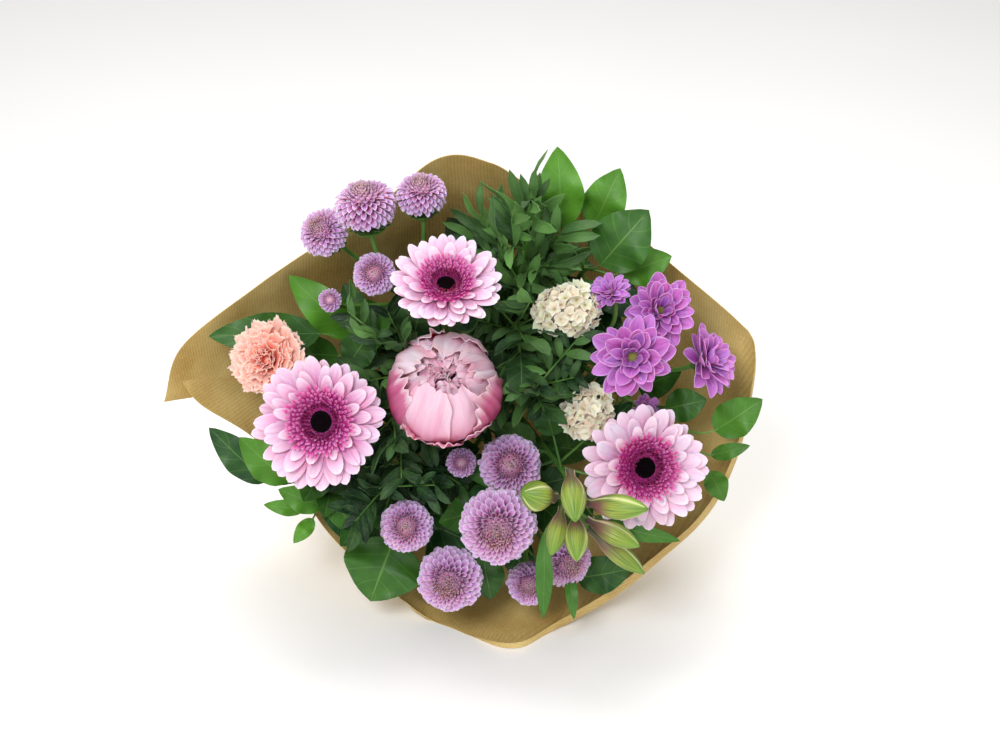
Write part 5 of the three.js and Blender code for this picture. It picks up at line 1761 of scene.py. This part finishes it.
# Cups under the blooms, as radius and height. The small ones are shares of a radius of their own
CUP_PROFILES = {
    "gerbera": [(2.2, -13.5), (4.5, -9.5), (8.6, -5.5), (9.8, -0.4), (0, -0.3)],
    "peony": [(2.2, -12.5), (7, -8.5), (13, -3.5), (14.6, -0.4), (0, -0.3)],
    "carnation": [(2.2, -24.5), (4.6, -20), (6.2, -10), (6.4, -0.4), (0, -0.3)],
    "pompon": [(1.3, -7.4), (0.5, -5), (0.9, -2), (1, -0.4), (0, -0.3)],
    "daisy": [(1.3, -8.4), (0.5, -5.5), (0.9, -2), (1, -0.4), (0, -0.3)],
    "statice": [(1.2, -5.4), (1.8, -3.5), (2.7, -1.2), (3, -0.4), (0, -0.3)],
}
# How many bracts a cup has, and their length where it isn't worked out from the bloom
BRACTS = {
    "gerbera": (18, 10), "peony": (5, 17), "carnation": (5, 7), "pompon": (12, 0), "daisy": (10, 0),
    "statice": (0, 0),
}
BRACT_TILT = math.radians(34)
SHARES_OF_DIAMETER = {"pompon": 0.26, "daisy": 0.14}


def add_cup(cluster, head, kind, random):
    """Adds the green cup under a bloom, with its ring of bracts."""
    placed = head_frame(base_of(head, kind), head["facing"])
    radius = SHARES_OF_DIAMETER.get(kind, 0) * head.get("diameter", 0) or 1
    first, *rest = CUP_PROFILES[kind]
    profile = [(0, first[1]), first] + [(r * radius, h) for r, h in rest]
    add_copy(cluster, lathe_form(profile, 16), placed)
    count, length = BRACTS[kind]
    if count:
        reach = length or radius * 1.25
        bract = leaflet_form(5)
        for i in range(count):
            turn = 2 * math.pi * i / count
            matrix = (
                placed @ Matrix.Rotation(turn, 4, "Z")
                @ Matrix.Translation((0.62 * rest[1][0] * radius, 0, rest[0][1] * 0.75))
                @ Matrix.Rotation(-BRACT_TILT, 4, "Y")
                @ Matrix.Scale(reach * random.between(0.8, 1), 4)
            )
            add_copy(cluster, bract, matrix)


def cup_foot(head, kind):
    """Where a stem meets the cup under a bloom, and the way the bloom faces."""
    facing = Vector(head["facing"]).normalized()
    return base_of(head, kind) + facing * (1 - CUP_DEPTHS[kind]), facing


def make_stems(settings, looks, room):
    """Stems of the blooms, with the cups that hold them and the sprays' own leaves."""
    for i, (head, kind) in enumerate(SINGLES):
        random = Draws(SEEDS["stem"] + i)
        name = head["name"]
        foot, facing = cup_foot(head, kind)
        route = fitted_route(node_points(f"{name}_stem"), SLOTS[name], foot, facing, 5, STEM_RADIUS)[1]
        cluster = new_cluster()
        add_copy(cluster, tube_form([(route, STEM_RADIUS, STEM_RADIUS)]))
        add_cup(cluster, head, kind, random)
        finish_piece(cluster, f"{name}_stalk", [looks["stem"]], [f"{name}_stem"])
    for i, (spray, kind) in enumerate(SPRAYS):
        random = Draws(SEEDS["spray"] + i)
        name = spray["name"]
        fork = fork_of(spray, kind)
        aim = (fork - stem_point(SLOTS[name], 0)).normalized()
        route = fitted_route(node_points(f"{name}_stem"), SLOTS[name], fork, aim, 3, STEM_RADIUS)[1]
        tubes = [(route, STEM_RADIUS, STEM_RADIUS)]
        cluster = new_cluster()
        for head in spray["heads"]:
            branch = bend(fork - aim * 4, aim, *cup_foot(head, kind), 12)
            tubes.append((branch, FULL_BRANCH_RADIUS, FULL_BRANCH_RADIUS * 0.85))
            add_cup(cluster, head, kind, random)
        add_filling_leaves(
            cluster, tubes, route, aim, settings.spray_leaves, room, random, back=(0, 50), material=1
        )
        add_copy(cluster, tube_form(tubes))
        finish_piece(cluster, f"{name}_stalks", [looks["stem"], looks["leaf"]], [f"{name}_stem"])


# Settings that a user would change

def length_property(name, description, default):
    """Setting for a length, in metres."""
    return bpy.props.FloatProperty(
        name=name, description=description, default=default, unit="LENGTH", precision=4
    )


def count_property(name, description, default):
    """Setting for a number of pieces or faces."""
    return bpy.props.IntProperty(name=name, description=description, default=default)


def colour_property(name, description, default):
    """Setting for a colour, with an sRGB hex colour as its default."""
    return bpy.props.FloatVectorProperty(
        name=name, description=description, default=linear(default), subtype="COLOR"
    )


class BouquetPaperSettings(bpy.types.PropertyGroup):
    """Sizes and colours of the paper."""

    rib_pitch: length_property("Rib pitch", "Distance between the paper's ribs", 0.0021)
    paper_thickness: length_property("Paper thickness", "Thickness of the sheet", 0.0005)
    paper_columns: count_property("Columns", "Faces round the paper", 320)
    paper_rows: count_property("Rows", "Faces from the skirt's hem to the rim", 60)
    paper_dark: colour_property("Dark fibre", "Colour of the paper's dark fibres", "#b08d4a")
    paper_light: colour_property("Light fibre", "Colour of the paper's light fibres", "#e6ce8a")


class BouquetBloomSettings(bpy.types.PropertyGroup):
    """Sizes and colours of the blooms."""

    rays: count_property("Rays", "Petals in a gerbera's outer ring", 17)
    ray_width: length_property("Ray width", "Width of a petal on the widest gerbera", 0.0142)
    pompon_petals: count_property("Pompon petals", "Petals on a 40 mm pompon", 190)
    gerbera_base: colour_property("Ray base", "Colour at the base of a gerbera's petals", "#bb3487")
    gerbera_middle: colour_property(
        "Ray middle", "Colour at the middle of a gerbera's petals", "#d97db2"
    )
    gerbera_tip: colour_property("Ray tip", "Colour at the tip of a gerbera's petals", "#e8b8d2")


class BouquetGreenerySettings(bpy.types.PropertyGroup):
    """Sizes and colours of the greenery."""

    extra_twigs: count_property("Extra twigs", "Twigs that fill the gaps of each pinnate stem", 14)
    filling_leaves: count_property(
        "Filling leaves", "Broad leaves that fill the bunch round each stem", 8
    )
    spray_leaves: count_property("Spray leaves", "Leaves on each stem of small blooms", 5)
    # These greens are partly painted light: the darkest goes to leaves in shade deep in the bunch, the
    # brightest to lit ones
    leaf_dark: colour_property("Dark leaf", "Colour of the darkest broad leaves", "#173f1d")
    leaf_bright: colour_property("Bright leaf", "Colour of the brightest broad leaves", "#558f26")


class BouquetStageSettings(bpy.types.PropertyGroup):
    """Camera and floor."""

    camera_elevation: bpy.props.FloatProperty(
        name="Camera elevation", description="Angle from which the camera looks down",
        default=math.radians(34), subtype="ANGLE",
    )
    camera_distance: length_property(
        "Camera distance", "Distance from the camera to the blooms", 1.1
    )
    floor_colour: colour_property("Floor", "Colour of the floor", "#f8f7f5")


looks_made = {}
rooms_made = []


def heads_of(spray, word):
    """Each head of a spray, with its number, the name of its piece and the nodes it stands for."""
    name = spray["name"]
    return [
        (i, head, f"{name}_{word}_{i + 1}", [f"{name}_head_{i + 1}"])
        for i, head in enumerate(spray["heads"])
    ]


def room_of():
    """Room for foliage, worked out once."""
    if not rooms_made:
        rooms_made.append(Room())
    return rooms_made[0]


def looks_of(context):
    """Materials of the blooms and greenery, made once."""
    if not looks_made:
        scene = context.scene
        looks_made.update(make_looks(scene.bouquet_blooms, scene.bouquet_greenery))
    return looks_made


class BOUQUET_OT_wrap(bpy.types.Operator):
    """Make the paper cone and the cords that hold it"""

    bl_idname = "bouquet.wrap"
    bl_label = "Paper wrap and ties"

    def execute(self, context):
        make_wrap(context.scene.bouquet_paper)
        twine = cord_material("jute_twine", "#a98f58", "#d3bd86")
        raffia = cord_material("dry_raffia", "#c2a866", "#e6d6a8")
        make_cord_ring("jute_binding", "binding_twine", twine, 0.9)
        make_cord_ring("raffia_tie", "wrap_tie", raffia, 1.5)
        return {"FINISHED"}


class BOUQUET_OT_stems(bpy.types.Operator):
    """Make the stems and cups of the blooms"""

    bl_idname = "bouquet.stems"
    bl_label = "Bloom stems"

    def execute(self, context):
        make_stems(context.scene.bouquet_greenery, looks_of(context), room_of())
        return {"FINISHED"}


class BOUQUET_OT_gerberas(bpy.types.Operator):
    """Make the gerberas"""

    bl_idname = "bouquet.gerberas"
    bl_label = "Gerberas"

    def execute(self, context):
        for i, head in enumerate(GERBERAS):
            make_gerbera(head, SEEDS["gerbera"] + i, context.scene.bouquet_blooms, looks_of(context))
        return {"FINISHED"}


class BOUQUET_OT_peony(bpy.types.Operator):
    """Make the peony"""

    bl_idname = "bouquet.peony"
    bl_label = "Peony"

    def execute(self, context):
        make_peony(PEONY, SEEDS["peony"], looks_of(context))
        return {"FINISHED"}


class BOUQUET_OT_carnation(bpy.types.Operator):
    """Make the carnation"""

    bl_idname = "bouquet.carnation"
    bl_label = "Carnation"

    def execute(self, context):
        make_carnation(CARNATION, SEEDS["carnation"], looks_of(context))
        return {"FINISHED"}


class BOUQUET_OT_pompons(bpy.types.Operator):
    """Make the lilac pompon chrysanthemums"""

    bl_idname = "bouquet.pompons"
    bl_label = "Pompons"

    def execute(self, context):
        settings = context.scene.bouquet_blooms
        for i, spray in enumerate(LILAC_SPRAYS):
            for j, head, name, nodes in heads_of(spray, "pompon"):
                seed = SEEDS["pompon"] + 10 * i + j
                make_pompon(head, seed, name, nodes, looks_of(context), settings)
        return {"FINISHED"}


class BOUQUET_OT_daisies(bpy.types.Operator):
    """Make the magenta daisy chrysanthemums"""

    bl_idname = "bouquet.daisies"
    bl_label = "Magenta daisies"

    def execute(self, context):
        for i, head, name, nodes in heads_of(MAGENTA_SPRAY, "daisy"):
            make_daisy(head, SEEDS["daisy"] + i, name, nodes, looks_of(context))
        return {"FINISHED"}


class BOUQUET_OT_statice(bpy.types.Operator):
    """Make the statice"""

    bl_idname = "bouquet.statice"
    bl_label = "Statice"

    def execute(self, context):
        for i, head, name, nodes in heads_of(STATICE, "cluster"):
            make_statice(head, SEEDS["statice"] + i, name, nodes, looks_of(context))
        return {"FINISHED"}


class BOUQUET_OT_alstroemeria(bpy.types.Operator):
    """Make the alstroemeria buds and their leaves"""

    bl_idname = "bouquet.alstroemeria"
    bl_label = "Alstroemeria"

    def execute(self, context):
        settings = context.scene.bouquet_greenery
        make_alstroemeria(SEEDS["alstroemeria"], settings, looks_of(context), room_of())
        return {"FINISHED"}


class BOUQUET_OT_broad_leaves(bpy.types.Operator):
    """Make the stems of broad leaves"""

    bl_idname = "bouquet.broad_leaves"
    bl_label = "Broad leaves"

    def execute(self, context):
        settings = context.scene.bouquet_greenery
        for i, spec in enumerate(SALAL):
            make_salal(spec, SEEDS["salal"] + 10 * i, settings, looks_of(context), room_of())
        return {"FINISHED"}


class BOUQUET_OT_small_leaves(bpy.types.Operator):
    """Make the stems of small pinnate leaves"""

    bl_idname = "bouquet.small_leaves"
    bl_label = "Small leaves"

    def execute(self, context):
        settings = context.scene.bouquet_greenery
        for i, spec in enumerate(PISTACIA):
            make_pistacia(spec, SEEDS["pistacia"] + i, settings, looks_of(context), room_of())
        return {"FINISHED"}


LENS = 58.25
FRAMING_SHIFT = (0.02, 0.055)
CAMERA_TARGET = (0, 0, 225)
FLOOR_REACH = 6
SKY_STRENGTH = 0.62
# Name, place in metres, power in watts and size in metres
LIGHTS = [
    ("key_light", (-0.5, -1.3, 1.45), 19, 0.6),
    ("fill_light", (0.6, -1.6, 0.35), 5, 1.2),
    ("top_light", (0.0, 0.3, 1.5), 11, 0.8),
]
LIGHTS_TARGET = Vector((0, -0.1, 0.15))


class BOUQUET_OT_stage(bpy.types.Operator):
    """Make the floor, the lights and the camera"""

    bl_idname = "bouquet.stage"
    bl_label = "Stage"

    def execute(self, context):
        settings = context.scene.bouquet_stage
        make_floor(settings)
        make_lights()
        make_camera(settings)
        return {"FINISHED"}


def make_floor(settings):
    """Floor under pale matt paint: even, with only a breath of tone in it."""
    form = bmesh.new()
    bmesh.ops.create_grid(form, x_segments=1, y_segments=1, size=FLOOR_REACH)
    floor = add_object("floor", mesh_of(form, "floor"))
    inputs = {"Roughness": 0.9, "Specular IOR Level": 0.1}
    paint, tree, shader = new_material("matt_floor_paint", inputs)
    spots = node(tree, "TexCoord", out="Object")
    tone = node(tree, "TexNoise", {"Vector": spots, "Scale": FLOOR_TONES})
    darker = [part * 0.98 for part in settings.floor_colour]
    body = node(tree, "ValToRGB", (tone,), stops=[(0.3, darker), (0.7, settings.floor_colour)])
    fill(tree, shader, {"Base Color": body})
    floor.data.materials.append(paint)


def make_lights():
    """Soft studio light: an even sky, a large key from the upper left, a weak fill and a top light."""
    world = bpy.data.worlds.new("soft_sky")
    world.use_nodes = True
    fill(world.node_tree, world.node_tree.nodes["Background"], ((1, 1, 1, 1), SKY_STRENGTH))
    bpy.context.scene.world = world
    for name, spot, power, size in LIGHTS:
        lamp = bpy.data.lights.new(name, "AREA")
        lamp.energy = power
        lamp.size = size
        holder = add_object(name, lamp)
        holder.location = spot
        aim = LIGHTS_TARGET - Vector(spot)
        holder.rotation_euler = aim.to_track_quat("-Z", "Y").to_euler()


def make_camera(settings):
    """Camera at the photograph's angle to the blooms."""
    data = bpy.data.cameras.new("camera")
    data.lens = LENS
    data.shift_x, data.shift_y = FRAMING_SHIFT
    camera = add_object("camera", data)
    target = TO_METRES @ Vector(CAMERA_TARGET)
    elevation = settings.camera_elevation
    back = Vector((0, -math.cos(elevation), math.sin(elevation)))
    camera.location = target + back * settings.camera_distance
    camera.rotation_euler = (-back).to_track_quat("-Z", "Y").to_euler()
    bpy.context.scene.camera = camera
    bpy.context.scene.view_settings.view_transform = "Standard"


class BOUQUET_PT_panel(bpy.types.Panel):
    """Lists the bouquet's pieces and their settings"""

    bl_label = "Bouquet"
    bl_idname = "BOUQUET_PT_panel"
    bl_space_type = "VIEW_3D"
    bl_region_type = "UI"
    bl_category = "Bouquet"

    def draw(self, context):
        for group in SETTING_GROUPS:
            settings = getattr(context.scene, group)
            for key in settings.__annotations__:
                self.layout.prop(settings, key)
        for operator in OPERATORS:
            self.layout.operator(operator.bl_idname)


SETTING_GROUPS = {
    "bouquet_paper": BouquetPaperSettings,
    "bouquet_blooms": BouquetBloomSettings,
    "bouquet_greenery": BouquetGreenerySettings,
    "bouquet_stage": BouquetStageSettings,
}
OPERATORS = [
    BOUQUET_OT_wrap, BOUQUET_OT_stems, BOUQUET_OT_gerberas, BOUQUET_OT_peony, BOUQUET_OT_carnation,
    BOUQUET_OT_pompons, BOUQUET_OT_daisies, BOUQUET_OT_statice, BOUQUET_OT_alstroemeria,
    BOUQUET_OT_broad_leaves, BOUQUET_OT_small_leaves, BOUQUET_OT_stage,
]


def register():
    """Registers the settings, operators and panel."""
    for name, group in SETTING_GROUPS.items():
        bpy.utils.register_class(group)
        setattr(bpy.types.Scene, name, bpy.props.PointerProperty(type=group))
    for made in [*OPERATORS, BOUQUET_PT_panel]:
        bpy.utils.register_class(made)


def unregister():
    """Removes what register added."""
    for made in reversed([*OPERATORS, BOUQUET_PT_panel]):
        bpy.utils.unregister_class(made)
    for name, group in reversed(SETTING_GROUPS.items()):
        delattr(bpy.types.Scene, name)
        bpy.utils.unregister_class(group)


def main():
    """Builds the whole bouquet and its stage."""
    register()
    for operator in OPERATORS:
        prefix, name = operator.bl_idname.split(".")
        getattr(getattr(bpy.ops, prefix), name)()


if __name__ == "__main__":
    main()
